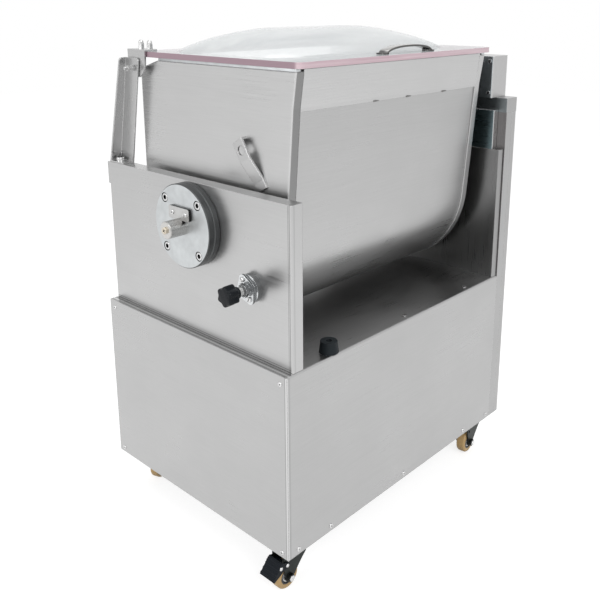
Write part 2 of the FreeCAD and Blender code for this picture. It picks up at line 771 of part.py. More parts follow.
def make_plunger():
    y, z = polar(plunger_radius, plunger_angle)
    face = left_upright_inset
    plate_back = face - plunger_boss
    plate_front = plate_back - plunger_plate
    collar_front = plate_front - plunger_collar
    body = rod_x(plate_back, face, plunger_boss_radius, y, z)
    body = body.fuse(oval_plate(plate_front, plate_back, y, z))
    body = body.fuse(rod_x(collar_front, plate_front, plunger_collar_radius, y, z))
    body = body.fuse(hex_prism_x(collar_front + 4, plate_front - 2, 2 * plunger_collar_radius, y, z))
    body = body.removeSplitter()
    keep("plunger_housing", body.cut(rod_x(collar_front - 1, face + 1, plunger_pin_radius + pin_clearance,
                                           y, z)))
    nose = left_inner_x + catch_gap - 0.5
    knob_x1 = collar_front - plunger_lift - 0.5
    knob_x0 = knob_x1 - knob_length
    pin = rod_x(knob_x0 + knob_hub, nose, plunger_pin_radius, y, z)
    pin = pin.makeChamfer(1.5, [e for e in pin.Edges if e.BoundBox.XMin > nose - 0.01])
    keep("plunger_pin", pin)
    knob = rod_x(knob_x0, knob_x1 - knob_hub, knob_radius - knob_lobe_radius / 2, y, z)
    for number in range(knob_lobes):
        a = 360.0 / knob_lobes * number
        lobe_y = y + (knob_radius - knob_lobe_radius) * math.cos(math.radians(a))
        lobe_z = z + (knob_radius - knob_lobe_radius) * math.sin(math.radians(a))
        knob = knob.fuse(rod_x(knob_x0, knob_x1 - knob_hub, knob_lobe_radius, lobe_y, lobe_z))
    knob = knob.fuse(rod_x(knob_x1 - knob_hub, knob_x1, knob_hub_radius, y, z)).removeSplitter()
    keep("plunger_knob", knob.cut(rod_x(knob_x0 + knob_hub, knob_x1 + 1, plunger_pin_radius, y, z)))


def quad_block(low, high):
    """A solid between two four-cornered outlines."""
    wires = [Part.makePolygon(list(corners) + [corners[0]]) for corners in (low, high)]
    return Part.makeLoft(wires, True, True)


def make_hinge_post():
    z0 = upright_top
    z1 = post_top_z
    x1 = left_inner_x
    s = post_sheet
    front, rear = post_foot_front, post_foot_rear
    lean = post_lean
    web = quad_block([V(x1 - s, front, z0), V(x1, front, z0), V(x1, rear, z0), V(x1 - s, rear, z0)],
                     [V(x1 - s, front - lean, z1), V(x1, front - lean, z1), V(x1, rear - lean - 1, z1),
                      V(x1 - s, rear - lean - 1, z1)])
    web = web.makeFillet(post_corner, [e for e in edges_along(web, V(1, 0, 0))
                                       if e.BoundBox.ZMin > z1 - 1 and e.BoundBox.YMax < front - lean + 1])
    low_x = x1 - post_leaf_foot
    top_x = x1 - post_leaf_top
    leaf = quad_block([V(low_x, rear - s, z0), V(x1, rear - s, z0), V(x1, rear, z0), V(low_x, rear, z0)],
                      [V(top_x, rear - lean - 1 - s, z1), V(x1, rear - lean - 1 - s, z1),
                       V(x1, rear - lean - 1, z1), V(top_x, rear - lean - 1, z1)])
    leaf = leaf.makeFillet(post_corner, [e for e in edges_along(leaf, V(0, 1, 0))
                                         if e.BoundBox.ZMin > z1 - 1 and e.BoundBox.XMax < top_x + 1])
    foot = box(low_x, x1, front, rear, z0, z0 + s)
    post = web.fuse(leaf).fuse(foot).removeSplitter()
    keep("hinge_post", post.cut(rod_x(x1 - s - 1, x1 + 1, pin_radius + pin_clearance, pin_y, pin_z)))


def rounded_outline(x0, x1, y0, y1, radius, z):
    """A closed wire of four lines and four corner arcs."""
    k = radius * (1 - math.sqrt(0.5))
    spots = [V(x0 + radius, y0, z), V(x1 - radius, y0, z), V(x1 - k, y0 + k, z), V(x1, y0 + radius, z),
             V(x1, y1 - radius, z), V(x1 - k, y1 - k, z), V(x1 - radius, y1, z), V(x0 + radius, y1, z),
             V(x0 + k, y1 - k, z), V(x0, y1 - radius, z), V(x0, y0 + radius, z), V(x0 + k, y0 + k, z)]
    edges = [Part.makeLine(spots[0], spots[1]), Part.Arc(spots[1], spots[2], spots[3]).toShape(),
             Part.makeLine(spots[3], spots[4]), Part.Arc(spots[4], spots[5], spots[6]).toShape(),
             Part.makeLine(spots[6], spots[7]), Part.Arc(spots[7], spots[8], spots[9]).toShape(),
             Part.makeLine(spots[9], spots[10]), Part.Arc(spots[10], spots[11], spots[0]).toShape()]
    return Part.Wire(edges)


def dome_solid(inset, z0, rise):
    """A blown dome with an oblong foot, as a smooth loft."""
    wires = []
    for share in (0.0, 0.04, 0.14, 0.3, 0.52, 0.78, 1.0):
        pull = inset + share * dome_shoulder
        height = rise * (1 - (1 - share) ** dome_fullness) ** (1 / dome_fullness)
        wires.append(rounded_outline(lid_left + dome_side_border + pull, lid_right - dome_side_border - pull,
                                     lid_front + dome_front_border + pull,
                                     lid_rear - dome_rear_border - pull,
                                     dome_corner * (1 - 0.4 * share), z0 + height))
    return Part.makeLoft(wires, True, False)


def make_lid():
    top = lid_under_z + lid_sheet_thickness
    plate = rounded_box(lid_left, lid_right, lid_front, lid_rear, lid_under_z, top, lid_corner, V(0, 0, 1))
    outer = dome_solid(0, lid_under_z, dome_height)
    inner = dome_solid(dome_wall, lid_under_z - 0.01, dome_height - dome_wall)
    keep("lid_cover", plate.fuse(outer).cut(inner))

    x0 = handle_middle_x - handle_span / 2
    x1 = handle_middle_x + handle_span / 2
    y0 = handle_y - handle_width / 2
    half_foot = 7.0
    outer_arc = Part.Arc(V(x0, y0, top), V(handle_middle_x, y0, top + handle_rise), V(x1, y0, top))
    inner_arc = Part.Arc(V(x1 - 2 * handle_strap, y0, top),
                         V(handle_middle_x, y0, top + handle_rise - handle_strap),
                         V(x0 + 2 * handle_strap, y0, top))
    wire = Part.Wire([outer_arc.toShape(), Part.makeLine(V(x1, y0, top), V(x1 - 2 * handle_strap, y0, top)),
                      inner_arc.toShape(), Part.makeLine(V(x0 + 2 * handle_strap, y0, top), V(x0, y0, top))])
    bow = Part.Face(wire).extrude(V(0, handle_width, 0))
    for x in (x0, x1):
        bow = bow.fuse(box(x - half_foot, x + half_foot, y0, y0 + handle_width, top, top + 2.5))
    keep("lid_handle", bow.removeSplitter())

    brackets = []
    nuts = []
    flange_top = top + bracket_sheet
    for edge, way in ((left_inner_x + bracket_gap, 1), (lid_right + 2 * bracket_gap + bracket_sheet, -1)):
        x_side = sorted((edge, edge + way * bracket_sheet))
        x_top = sorted((edge, edge + way * bracket_width))
        flange = box(x_top[0], x_top[1], bracket_front, bracket_rear, top, flange_top)
        bracket = flange.fuse(hinge_ear(x_side[0], x_side[1], flange_top)).removeSplitter()
        brackets.append(bracket.cut(rod_x(x_side[0] - 1, x_side[1] + 1, pin_radius + pin_clearance,
                                          pin_y, pin_z)))
        for y in (bracket_front + lid_nut_across, bracket_front + 3.7 * lid_nut_across):
            nuts.append(acorn_nut(edge + way * lid_nut_inset, y, flange_top))
    keep("lid_hinge_brackets", *brackets)
    keep("lid_nuts", *nuts)

    inner = left_inner_x + bracket_gap + bracket_sheet + 0.3
    left = rod_x(left_inner_x - post_sheet - 16, inner + pin_nut, pin_radius, pin_y, pin_z)
    left = left.fuse(hex_prism_x(inner, inner + pin_nut, pin_nut_across, pin_y, pin_z))
    for x in (left_inner_x - post_sheet - 0.3 - pin_nut, left_inner_x - post_sheet - 3.5 - 2 * pin_nut):
        left = left.fuse(hex_prism_x(x, x + pin_nut, pin_nut_across, pin_y, pin_z))
    inner = lid_right + 2 * bracket_gap - 0.3
    wall = right_inner_x + upright_sheet
    right = rod_x(inner - pin_nut, wall + 8, pin_radius, pin_y, pin_z)
    for x in (inner - pin_nut, wall + 0.3):
        right = right.fuse(hex_prism_x(x, x + pin_nut, pin_nut_across, pin_y, pin_z))
    keep("hinge_pins", left.removeSplitter(), right.removeSplitter())


def hinge_ear(x0, x1, top):
    """The side plate of a lid bracket, with a round nose in front of the pin."""
    low = pin_z - ear_drop
    nose_top = V(x0, bracket_front + 1.5, pin_z + 3)
    nose_low = V(x0, pin_y - 9, low)
    nose_mid = V(x0, bracket_front + 6.5, pin_z - 5.5)
    corner = V(x0, bracket_rear, top)
    edges = [Part.makeLine(V(x0, bracket_front, top), nose_top),
             Part.Arc(nose_top, nose_mid, nose_low).toShape(),
             Part.makeLine(nose_low, V(x0, bracket_rear - 8, low)),
             Part.makeLine(V(x0, bracket_rear - 8, low), V(x0, bracket_rear, low + 8)),
             Part.makeLine(V(x0, bracket_rear, low + 8), corner),
             Part.makeLine(corner, V(x0, bracket_front, top))]
    return Part.Face(Part.Wire(edges)).extrude(V(x1 - x0, 0, 0))


def acorn_nut(x, y, z):
    corner = lid_nut_across / math.sqrt(3)
    points = [V(x + corner * math.cos(math.radians(a)), y + corner * math.sin(math.radians(a)), z)
              for a in range(0, 360, 60)]
    nut = Part.Face(Part.makePolygon(points + points[:1])).extrude(V(0, 0, lid_nut_height))
    radius = lid_nut_across / 2 - 0.3
    cap = Part.makeSphere(radius, V(x, y, z + lid_nut_height + 1.5), V(0, 0, 1), 0, 90, 360)
    neck = rod_z(z + lid_nut_height, z + lid_nut_height + 1.5, radius, x, y)
    return nut.fuse(neck).fuse(cap).removeSplitter()


def make_small_parts():
    top = cabinet_height + bumper_height
    cone = Part.makeCone(bumper_foot_radius, bumper_top_radius, bumper_height,
                         V(bumper_x, bumper_y, cabinet_height))
    well = rod_z(top - bumper_well, top + 1, bumper_well_radius, bumper_x, bumper_y)
    keep("rubber_bumper", cone.cut(well))

    screws = [rod_z(top - bumper_well, top - bumper_well / 2, bumper_well_radius - 0.5, bumper_x, bumper_y)]
    outer_face = left_upright_inset - 2 * disc_thickness
    keeper_z = axis_z + end_pin_radius - keeper_slot + keeper_height / 2
    for y in (axis_y - 14, axis_y + 14):
        screws.append(rod_x(outer_face - keeper_sheet - 1.5, outer_face - keeper_sheet, 3.5, y, keeper_z))
    pin_end = outer_face - end_pin_reach
    screws.append(hex_prism_x(pin_end - 3, pin_end, 9.0, axis_y, axis_z))
    py, pz = polar(plunger_radius, plunger_angle)
    plate_front = left_upright_inset - plunger_boss - plunger_plate
    for angle in (plunger_screw_angle, plunger_screw_angle + 180):
        a = math.radians(angle)
        screws.append(rod_x(plate_front - 2.5, plate_front, 3.6, py + plunger_screw_radius * math.cos(a),
                            pz + plunger_screw_radius * math.sin(a)))
    foot_x = left_inner_x - post_sheet - 8.5
    screws.append(rod_z(upright_top + post_sheet, upright_top + post_sheet + 5, 6.0, foot_x,
                        post_foot_rear - 14))
    for z in (housing_height + 9, pin_z + hinge_box_cover - 8):
        screws.append(rod_x(right_inner_x - 1.5, right_inner_x, 3.0, hinge_box_front + 7, z))
    keep("small_screws", *screws)

    heads = []
    r, h = panel_screw_radius, panel_screw_head
    edge = panel_screw_edge
    for y in (edge, cabinet_depth - edge):
        for z in (panel_screw_low, cabinet_height - edge):
            heads.append(rod_x(-h, 0, r, y, z))
    for x in (panel_screw_end, panel_screw_second, cabinet_length / 2, cabinet_length - panel_screw_second,
              cabinet_length - edge):
        heads.append(rod_y(-h, 0, r, x, panel_screw_low))
        heads.append(rod_y(cabinet_depth, cabinet_depth + h, r, x, panel_screw_low))
    for x in (cabinet_length / 2 + edge / 2, cabinet_length - panel_screw_second):
        for y in (edge, cabinet_depth - edge):
            heads.append(rod_z(cabinet_height, cabinet_height + h, r, x, y))
    keep("panel_screws", *heads)


def make_controls():
    x = total_length
    low = button_top_z - (button_count - 1) * button_pitch - 26
    plate = rounded_box(x, x + 2, button_y - 26, button_y + 26, low, button_top_z + 26, 4.0, V(1, 0, 0))
    for number in range(button_count):
        z = button_top_z - number * button_pitch
        plate = plate.fuse(rod_x(x + 2, x + 6, button_radius + 3.5, button_y, z))
    plate = plate.removeSplitter()
    for number in range(button_count):
        z = button_top_z - number * button_pitch
        plate = plate.cut(rod_x(x - 1, x + 7, button_radius + 0.4, button_y, z))
        cap = rod_x(x - sheet - 2, x + 6 + button_travel + 1, button_radius, button_y, z)
        cap = cap.makeFillet(1.2, [e for e in cap.Edges if e.BoundBox.XMin > x + 6])
        keep(("forward_button", "reverse_button", "stop_button")[number], cap)
    keep("button_plate", plate)

    y = cabinet_depth
    gland = hexagon_y(y, y + 8, 24.0, gland_x, gland_z)
    nut = Part.makeCone(11.0, 8.0, gland_reach - 8, V(gland_x, y + 8, gland_z), V(0, 1, 0))
    gland = gland.fuse(nut).removeSplitter()
    keep("cable_gland", gland.cut(rod_y(y - 1, y + gland_reach + 1, gland_bore_radius, gland_x, gland_z)))


def hexagon_y(y0, y1, across, x, z):
    corner = across / math.sqrt(3)
    outline = [(x + corner * math.cos(math.radians(a)), z + corner * math.sin(math.radians(a)))
               for a in range(0, 360, 60)]
    return prism_y(outline, y0, y1)


def caster_spots():
    x, y = caster_inset_x, caster_inset_y
    return {"front_left": (x, y), "front_right": (total_length - x, y),
            "rear_left": (x, cabinet_depth - y), "rear_right": (total_length - x, cabinet_depth - y)}


def make_fork():
    """Two stamped cheeks under a round head, in a caster's own place."""
    head_z = -plate_sheet - swivel_gap
    low_z = head_z - fork_head
    axle_z = wheel_radius - caster_height
    inner = wheel_width / 2 + fork_gap
    outer = inner + fork_sheet
    fork = rod_z(low_z, head_z, fork_head_radius, 0, 0)
    slant = axle_boss * math.sqrt(0.5)
    for side in (-1, 1):
        y0, y1 = sorted((side * inner, side * outer))
        spots = [V(fork_front, y0, low_z + fork_sheet), V(fork_front, y0, -fork_shoulder),
                 V(-caster_trail + fork_front * 1.6, y0, -fork_shoulder - fork_front * 0.9),
                 V(-caster_trail + slant, y0, axle_z - slant), V(-caster_trail, y0, axle_z - axle_boss),
                 V(-caster_trail - slant, y0, axle_z - slant),
                 V(-caster_trail - fork_rear, y0, -pedal_pivot_rise - pedal_pin_radius),
                 V(-caster_trail - fork_rear, y0, low_z + fork_sheet)]
        edges = [Part.makeLine(spots[0], spots[1]), Part.Arc(spots[1], spots[2], spots[3]).toShape(),
                 Part.Arc(spots[3], spots[4], spots[5]).toShape(), Part.makeLine(spots[5], spots[6]),
                 Part.makeLine(spots[6], spots[7]), Part.makeLine(spots[7], spots[0])]
        fork = fork.fuse(Part.Face(Part.Wire(edges)).extrude(V(0, y1 - y0, 0)))
    fork = fork.fuse(box(-caster_trail - fork_rear, fork_front, -outer, outer, low_z, low_z + fork_sheet))
    fork = fork.removeSplitter().cut(rod_y(-outer - 1, outer + 1, axle_radius, -caster_trail, axle_z))
    axle = rod_y(-outer - axle_nut, outer + axle_nut, axle_radius, -caster_trail, axle_z)
    for y in (-outer - axle_nut, outer):
        axle = axle.fuse(hexagon_y(y, y + axle_nut, axle_nut_across, -caster_trail, axle_z))
    pivot_x, pivot_z = pedal_pivot()
    return fork.cut(rod_y(-outer - 1, outer + 1, pedal_pin_radius + running_gap, pivot_x, pivot_z)), axle


def make_wheel():
    axle_z = wheel_radius - caster_height
    wheel = rod_y(-wheel_width / 2, wheel_width / 2, wheel_radius, -caster_trail, axle_z)
    wheel = wheel.makeFillet(tyre_round, wheel.Edges)
    return wheel.cut(rod_y(-wheel_width, wheel_width, axle_radius + running_gap, -caster_trail, axle_z))


def make_pedal():
    """A ribbed tread plate between two side arms on one pin."""
    pivot_x, pivot_z = pedal_pivot()
    inner = wheel_width / 2 + fork_gap + fork_sheet + swivel_gap
    outer = inner + pedal_sheet
    top = V(-pedal_top[0], 0, -pedal_top[1])
    low = V(-pedal_low[0], 0, -pedal_low[1])
    along = (low - top).normalize()
    inward = V(-along.z, 0, along.x)
    if inward.x < 0:
        inward = -inward
    boss = pedal_pin_radius + pedal_sheet
    pedal = None
    for side in (-1, 1):
        y0, y1 = sorted((side * inner, side * outer))
        back = low + inward * pedal_plate
        outline = [(pivot_x, pivot_z + boss), (top.x, top.z), (low.x, low.z), (back.x, back.z),
                   (pivot_x - boss, pivot_z - boss), (pivot_x, pivot_z - boss)]
        arm = prism_y(outline, y0, y1).fuse(rod_y(y0, y1, boss, pivot_x, pivot_z))
        pedal = arm if pedal is None else pedal.fuse(arm)
    corners = [top, low, low + inward * pedal_plate, top + inward * pedal_plate]
    pedal = pedal.fuse(prism_y([(c.x, c.z) for c in corners], -outer, outer))
    for number in range(pedal_ribs):
        start = top + along * ((low - top).Length * (number + 0.5) / pedal_ribs - pedal_rib)
        end = start + along * 2 * pedal_rib
        rib = [start + inward, start - inward * pedal_rib, end - inward * pedal_rib, end + inward]
        pedal = pedal.fuse(prism_y([(c.x, c.z) for c in rib], -outer, outer))
    return pedal.fuse(rod_y(-outer, outer, pedal_pin_radius, pivot_x, pivot_z)).removeSplitter()


def make_casters():
    plates = []
    for name, (x, y) in caster_spots().items():
        def place(solid):
            solid.rotate(V(0, 0, 0), V(0, 0, 1), caster_turn[name])
            solid.translate(V(x, y, 0))
            return solid

        plate = rounded_box(-plate_side / 2, plate_side / 2, -plate_side / 2, plate_side / 2,
                            -plate_sheet, 0, plate_corner, V(0, 0, 1))
        plate.translate(V(x, y, 0))
        plates.append(plate)
        fork, axle = make_fork()
        keep("caster_fork_" + name, place(fork), place(axle.removeSplitter()))
        keep("caster_wheel_" + name, place(make_wheel()))
        if name.endswith("left"):
            keep("brake_pedal_" + name, place(make_pedal()))
    keep("caster_plates", *plates)


def pedal_pivot():
    """Middle of the brake pedal's pin, in the fork's cheeks over the tyre."""
    return -caster_trail - pedal_pivot_reach, -pedal_pivot_rise


def machine_shift():
    """Moves the middle of the machine's box over the origin and its wheels onto the floor."""
    whole = FreeCAD.BoundBox()
    for solids in parts.values():
        for solid in solids:
            whole.add(solid.optimalBoundingBox(False, False))
    return V(-(whole.XMin + whole.XMax) / 2, -(whole.YMin + whole.YMax) / 2, caster_height)


make_cabinet()
make_uprights()
make_drive_housing()
make_trough()
make_left_bearing()
make_agitator()
make_chain()
make_motor()
make_plunger()
make_hinge_post()
make_lid()
make_small_parts()
make_controls()
make_casters()

shift = machine_shift()
os.makedirs("parts", exist_ok=True)
for name, solids in parts.items():
    moved = [solid.copy() for solid in solids]
    for solid in moved:
        solid.translate(shift)
    shape = moved[0] if len(moved) == 1 else Part.makeCompound(moved)
    shape.exportStep("parts/" + name + ".step")
print(len(parts), "pieces, origin moved by", shift)
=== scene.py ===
# %% [markdown]
# # A tilting meat mixer on casters
#
# The machine is a folded stainless cabinet with a drive housing at its right end. Two uprights
# on the deck carry a trough that tips forward about its trunnions. A clear lid with a blown
# dome covers the trough, and an agitator turns inside it.
#
# The solid model already has every piece at its real size, so most of the work here is finish:
# brushed sheet, satin zinc, turned steel, clear acrylic, moulded plastic, rubber and
# polyurethane. A few pieces are modelled anew, because their soft edges or weld beads are what
# the eye looks for close up.

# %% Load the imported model
import math

import bmesh
import bpy
from mathutils import Euler, Matrix, Vector
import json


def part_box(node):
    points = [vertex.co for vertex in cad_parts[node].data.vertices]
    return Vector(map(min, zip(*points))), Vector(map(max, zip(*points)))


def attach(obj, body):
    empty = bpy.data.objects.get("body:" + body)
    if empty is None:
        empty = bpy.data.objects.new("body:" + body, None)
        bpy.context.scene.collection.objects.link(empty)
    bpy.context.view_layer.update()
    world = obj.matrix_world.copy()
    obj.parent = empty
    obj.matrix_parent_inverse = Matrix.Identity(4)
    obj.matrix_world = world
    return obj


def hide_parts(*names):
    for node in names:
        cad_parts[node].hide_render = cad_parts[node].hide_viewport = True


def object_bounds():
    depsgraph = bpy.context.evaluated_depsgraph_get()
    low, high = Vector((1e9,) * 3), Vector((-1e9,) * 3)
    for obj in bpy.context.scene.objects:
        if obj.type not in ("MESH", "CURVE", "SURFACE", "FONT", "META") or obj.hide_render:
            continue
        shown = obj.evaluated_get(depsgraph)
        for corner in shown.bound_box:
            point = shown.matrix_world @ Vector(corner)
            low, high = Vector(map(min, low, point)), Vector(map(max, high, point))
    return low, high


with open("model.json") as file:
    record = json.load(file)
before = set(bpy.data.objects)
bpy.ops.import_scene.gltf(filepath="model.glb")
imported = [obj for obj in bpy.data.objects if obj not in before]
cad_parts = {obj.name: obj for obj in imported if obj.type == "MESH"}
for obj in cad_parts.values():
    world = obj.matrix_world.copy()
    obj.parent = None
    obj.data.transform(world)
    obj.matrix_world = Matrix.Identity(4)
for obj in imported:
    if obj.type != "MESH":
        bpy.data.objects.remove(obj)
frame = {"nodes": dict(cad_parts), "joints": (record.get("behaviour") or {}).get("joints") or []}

nodes = frame["nodes"]
cad_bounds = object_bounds()

# %% [markdown]
# ## The camera
#
# A product picture like this one is taken from the front left corner, a little above the
# machine. A long lens keeps the verticals nearly parallel, and a small lens shift moves the
# frame instead of tipping the camera, so the uprights stay straight.

# %% Place the camera
camera_data = bpy.data.cameras.new("studio_camera")
camera_data.sensor_width = 36.0
camera_data.lens = 46.15
camera_data.shift_x = -0.02967
camera_data.shift_y = -0.16733
camera_data.clip_end = 20.0
camera = bpy.data.objects.new("studio_camera", camera_data)
cabinet_corner = Vector(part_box("left_end_panel")[0])
camera.location = cabinet_corner + Vector((-0.6325, -0.6416, 0.7459))
camera.rotation_euler = Euler((math.radians(75.56), 0.0, math.radians(-47.16)))
bpy.context.scene.collection.objects.link(camera)
bpy.context.scene.camera = camera
bpy.context.scene.view_settings.view_transform = "Standard"
print("The camera looks down by", round(90 - 75.56, 1), "degrees")

# %% [markdown]
# ## The room: a white sweep of floor and sky
#
# Bright metal is a mirror of its room, so the room matters as much as the metal. Here the sky
# is white for the camera and for what gloss and glass see, and weaker for plain matt surfaces,
# so that rubber and plastic keep their own dark colours. The Light Path node tells the rays
# apart. The floor adds a little of the same white, and still shows the machine's soft shadow.

# %% Build the white sky
def seen_directly(tree):
    """One for camera, glossy and transmission rays, and nothing for the rest."""
    path = tree.nodes.new("ShaderNodeLightPath")
    total = None
    for ray in ("Is Camera Ray", "Is Glossy Ray", "Is Transmission Ray"):
        if total is None:
            total = path.outputs[ray]
            continue
        add = tree.nodes.new("ShaderNodeMath")
        add.operation = "MAXIMUM"
        tree.links.new(total, add.inputs[0])
        tree.links.new(path.outputs[ray], add.inputs[1])
        total = add.outputs[0]
    return total


matt_sky = 0.62
world = bpy.data.worlds.new("studio_sky")
world.use_nodes = True
sky = world.node_tree.nodes["Background"]
sky.inputs["Color"].default_value = (1.0, 1.0, 1.0, 1.0)
sky_strength = world.node_tree.nodes.new("ShaderNodeMapRange")
sky_strength.inputs["To Min"].default_value = matt_sky
sky_strength.inputs["To Max"].default_value = 1.0
world.node_tree.links.new(seen_directly(world.node_tree), sky_strength.inputs["Value"])
world.node_tree.links.new(sky_strength.outputs["Result"], sky.inputs["Strength"])
bpy.context.scene.world = world
print("Matt surfaces see a sky of", matt_sky)

# %% Lay the floor
floor_half = 6.0
floor_mesh = bmesh.new()
bmesh.ops.create_grid(floor_mesh, x_segments=1, y_segments=1, size=floor_half)
floor_data = bpy.data.meshes.new("studio_floor")
floor_mesh.to_mesh(floor_data)
floor_mesh.free()
floor = bpy.data.objects.new("studio_floor", floor_data)
bpy.context.scene.collection.objects.link(floor)
floor_finish = bpy.data.materials.new("floor_paper")
floor_finish.use_nodes = True
floor_tree = floor_finish.node_tree
floor_tree.nodes.clear()
paper = floor_tree.nodes.new("ShaderNodeBsdfDiffuse")
paper.inputs["Color"].default_value = (0.42, 0.42, 0.42, 1.0)
glow = floor_tree.nodes.new("ShaderNodeEmission")
glow_strength = floor_tree.nodes.new("ShaderNodeMath")
glow_strength.operation = "MULTIPLY"
glow_strength.inputs[1].default_value = 0.74
floor_tree.links.new(seen_directly(floor_tree), glow_strength.inputs[0])
floor_tree.links.new(glow_strength.outputs[0], glow.inputs["Strength"])
both = floor_tree.nodes.new("ShaderNodeAddShader")
floor_tree.links.new(paper.outputs[0], both.inputs[0])
floor_tree.links.new(glow.outputs[0], both.inputs[1])
floor_out = floor_tree.nodes.new("ShaderNodeOutputMaterial")
floor_tree.links.new(both.outputs[0], floor_out.inputs["Surface"])
floor_data.materials.append(floor_finish)
print("The floor is", 2 * floor_half, "m wide")

# %% Hang the soft lamps
def soft_lamp(name, place, target, power, size):
    """A square softbox that points at the machine."""
    data = bpy.data.lights.new(name, "AREA")
    data.energy = power
    data.size = size
    lamp = bpy.data.objects.new(name, data)
    lamp.location = place
    lamp.rotation_euler = (Vector(target) - Vector(place)).to_track_quat("-Z", "Y").to_euler()
    bpy.context.scene.collection.objects.link(lamp)
    return lamp


middle = (0.0, 0.0, 0.35)
soft_lamp("key_softbox", (-0.7, -2.3, 2.1), middle, 34.0, 1.6)
soft_lamp("left_softbox", (-2.4, 0.2, 1.5), middle, 22.0, 1.5)
soft_lamp("top_softbox", (0.3, 0.2, 2.8), middle, 22.0, 1.8)
print("Three softboxes hang round the machine")

# %% [markdown]
# ## Finishes: the building blocks
#
# A finish is a small network: a pattern in the piece's own coordinates, a range that it is
# spread over, and the shader's sockets. Every finish below reads Object coordinates, so that it
# stays put on its piece when the piece moves, and does not need unwrapping.

# %% Helpers for patterns
def start_finish(name):
    material = bpy.data.materials.new(name)
    material.use_nodes = True
    tree = material.node_tree
    return material, tree, tree.nodes["Principled BSDF"]


def own_place(tree, scale=(1.0, 1.0, 1.0)):
    """The piece's own coordinates, stretched."""
    coordinates = tree.nodes.new("ShaderNodeTexCoord")
    mapping = tree.nodes.new("ShaderNodeMapping")
    mapping.inputs["Scale"].default_value = scale
    tree.links.new(coordinates.outputs["Object"], mapping.inputs["Vector"])
    return mapping.outputs["Vector"]


def cloud(tree, vector, scale, detail=3.0, rough=0.5):
    pattern = tree.nodes.new("ShaderNodeTexNoise")
    pattern.inputs["Scale"].default_value = scale
    pattern.inputs["Detail"].default_value = detail
    pattern.inputs["Roughness"].default_value = rough
    tree.links.new(vector, pattern.inputs["Vector"])
    return pattern.outputs["Fac"]


def spread(tree, value, low, high, start=0.3, end=0.7):
    """Takes a pattern's middle values to the range from low to high."""
    ranged = tree.nodes.new("ShaderNodeMapRange")
    ranged.inputs["From Min"].default_value = start
    ranged.inputs["From Max"].default_value = end
    ranged.inputs["To Min"].default_value = low
    ranged.inputs["To Max"].default_value = high
    tree.links.new(value, ranged.inputs["Value"])
    return ranged.outputs["Result"]


def mix_colour(tree, share, first, second):
    """Blends two colours, or two linked colours, by a pattern."""
    mixer = tree.nodes.new("ShaderNodeMix")
    mixer.data_type = "RGBA"
    tree.links.new(share, mixer.inputs[0])
    for socket, value in ((mixer.inputs[6], first), (mixer.inputs[7], second)):
        if isinstance(value, tuple):
            socket.default_value = (value[0], value[1], value[2], 1.0)
        else:
            tree.links.new(value, socket)
    return mixer.outputs[2]


def sum_up(tree, first, second, operation="ADD"):
    node = tree.nodes.new("ShaderNodeMath")
    node.operation = operation
    for socket, value in ((node.inputs[0], first), (node.inputs[1], second)):
        if isinstance(value, float):
            socket.default_value = value
        else:
            tree.links.new(value, socket)
    return node.outputs[0]


def roughen(tree, shader, height, strength, distance, normal=None):
    """Turns a pattern into fine relief."""
    bump = tree.nodes.new("ShaderNodeBump")
    bump.inputs["Strength"].default_value = strength
    bump.inputs["Distance"].default_value = distance
    tree.links.new(height, bump.inputs["Height"])
    if normal is not None:
        tree.links.new(normal, bump.inputs["Normal"])
    tree.links.new(bump.outputs["Normal"], shader.inputs["Normal"])


def soft_edges(tree, radius):
    """A rounded normal for sharp edges, and a mask of where those edges are."""
    bevel = tree.nodes.new("ShaderNodeBevel")
    bevel.samples = 4
    bevel.inputs["Radius"].default_value = radius
    geometry = tree.nodes.new("ShaderNodeNewGeometry")
    agree = tree.nodes.new("ShaderNodeVectorMath")
    agree.operation = "DOT_PRODUCT"
    tree.links.new(bevel.outputs["Normal"], agree.inputs[0])
    tree.links.new(geometry.outputs["Normal"], agree.inputs[1])
    return bevel.outputs["Normal"], spread(tree, agree.outputs["Value"], 1.0, 0.0, 0.8, 0.995)


def side_mask(tree, axis, way):
    """One on faces that look along an axis (0, 1 or 2) in the given way, and nothing elsewhere."""
    facing = tree.nodes.new("ShaderNodeTexCoord")
    parts = tree.nodes.new("ShaderNodeSeparateXYZ")
    tree.links.new(facing.outputs["Normal"], parts.inputs[0])
    return spread(tree, sum_up(tree, parts.outputs[axis], float(way), "MULTIPLY"), 0.0, 1.0, 0.8, 0.95)


def stripe(tree, axis, place, half_width):
    """One within a narrow strip across an axis, and nothing elsewhere."""
    parts = tree.nodes.new("ShaderNodeSeparateXYZ")
    tree.links.new(own_place(tree), parts.inputs[0])
    away = sum_up(tree, sum_up(tree, parts.outputs[axis], -place), 0.0, "ABSOLUTE")
    return spread(tree, away, 1.0, 0.0, half_width * 0.7, half_width * 1.3)


def grey(value):
    return (value, value, value)


print("Pattern helpers are ready")

# %% [markdown]
# ## Brushed stainless sheet
#
# Food machines are folded from sheet with a satin, one-way grain. The grain is what tells it
# from plain grey paint: thousands of hairlines, each a little lighter or darker and a little
# rougher than its neighbour. A noise that is stretched along one axis makes them, and a slow
# noise on top gives the faint clouds that handling leaves. Folds and cut edges are polished by
# cloths and hands, so the edge mask makes them a little smoother, and it also paints a
# highlight on them, a brighter grey. Where a sheet is folded or meets another, a fine line is
# drawn beside the fold: a dark one is painted shade in the seam, a light one a painted
# highlight on the bend.

# %% Mix the brushed stainless
grain_along = 14.0
grain_across = 560.0


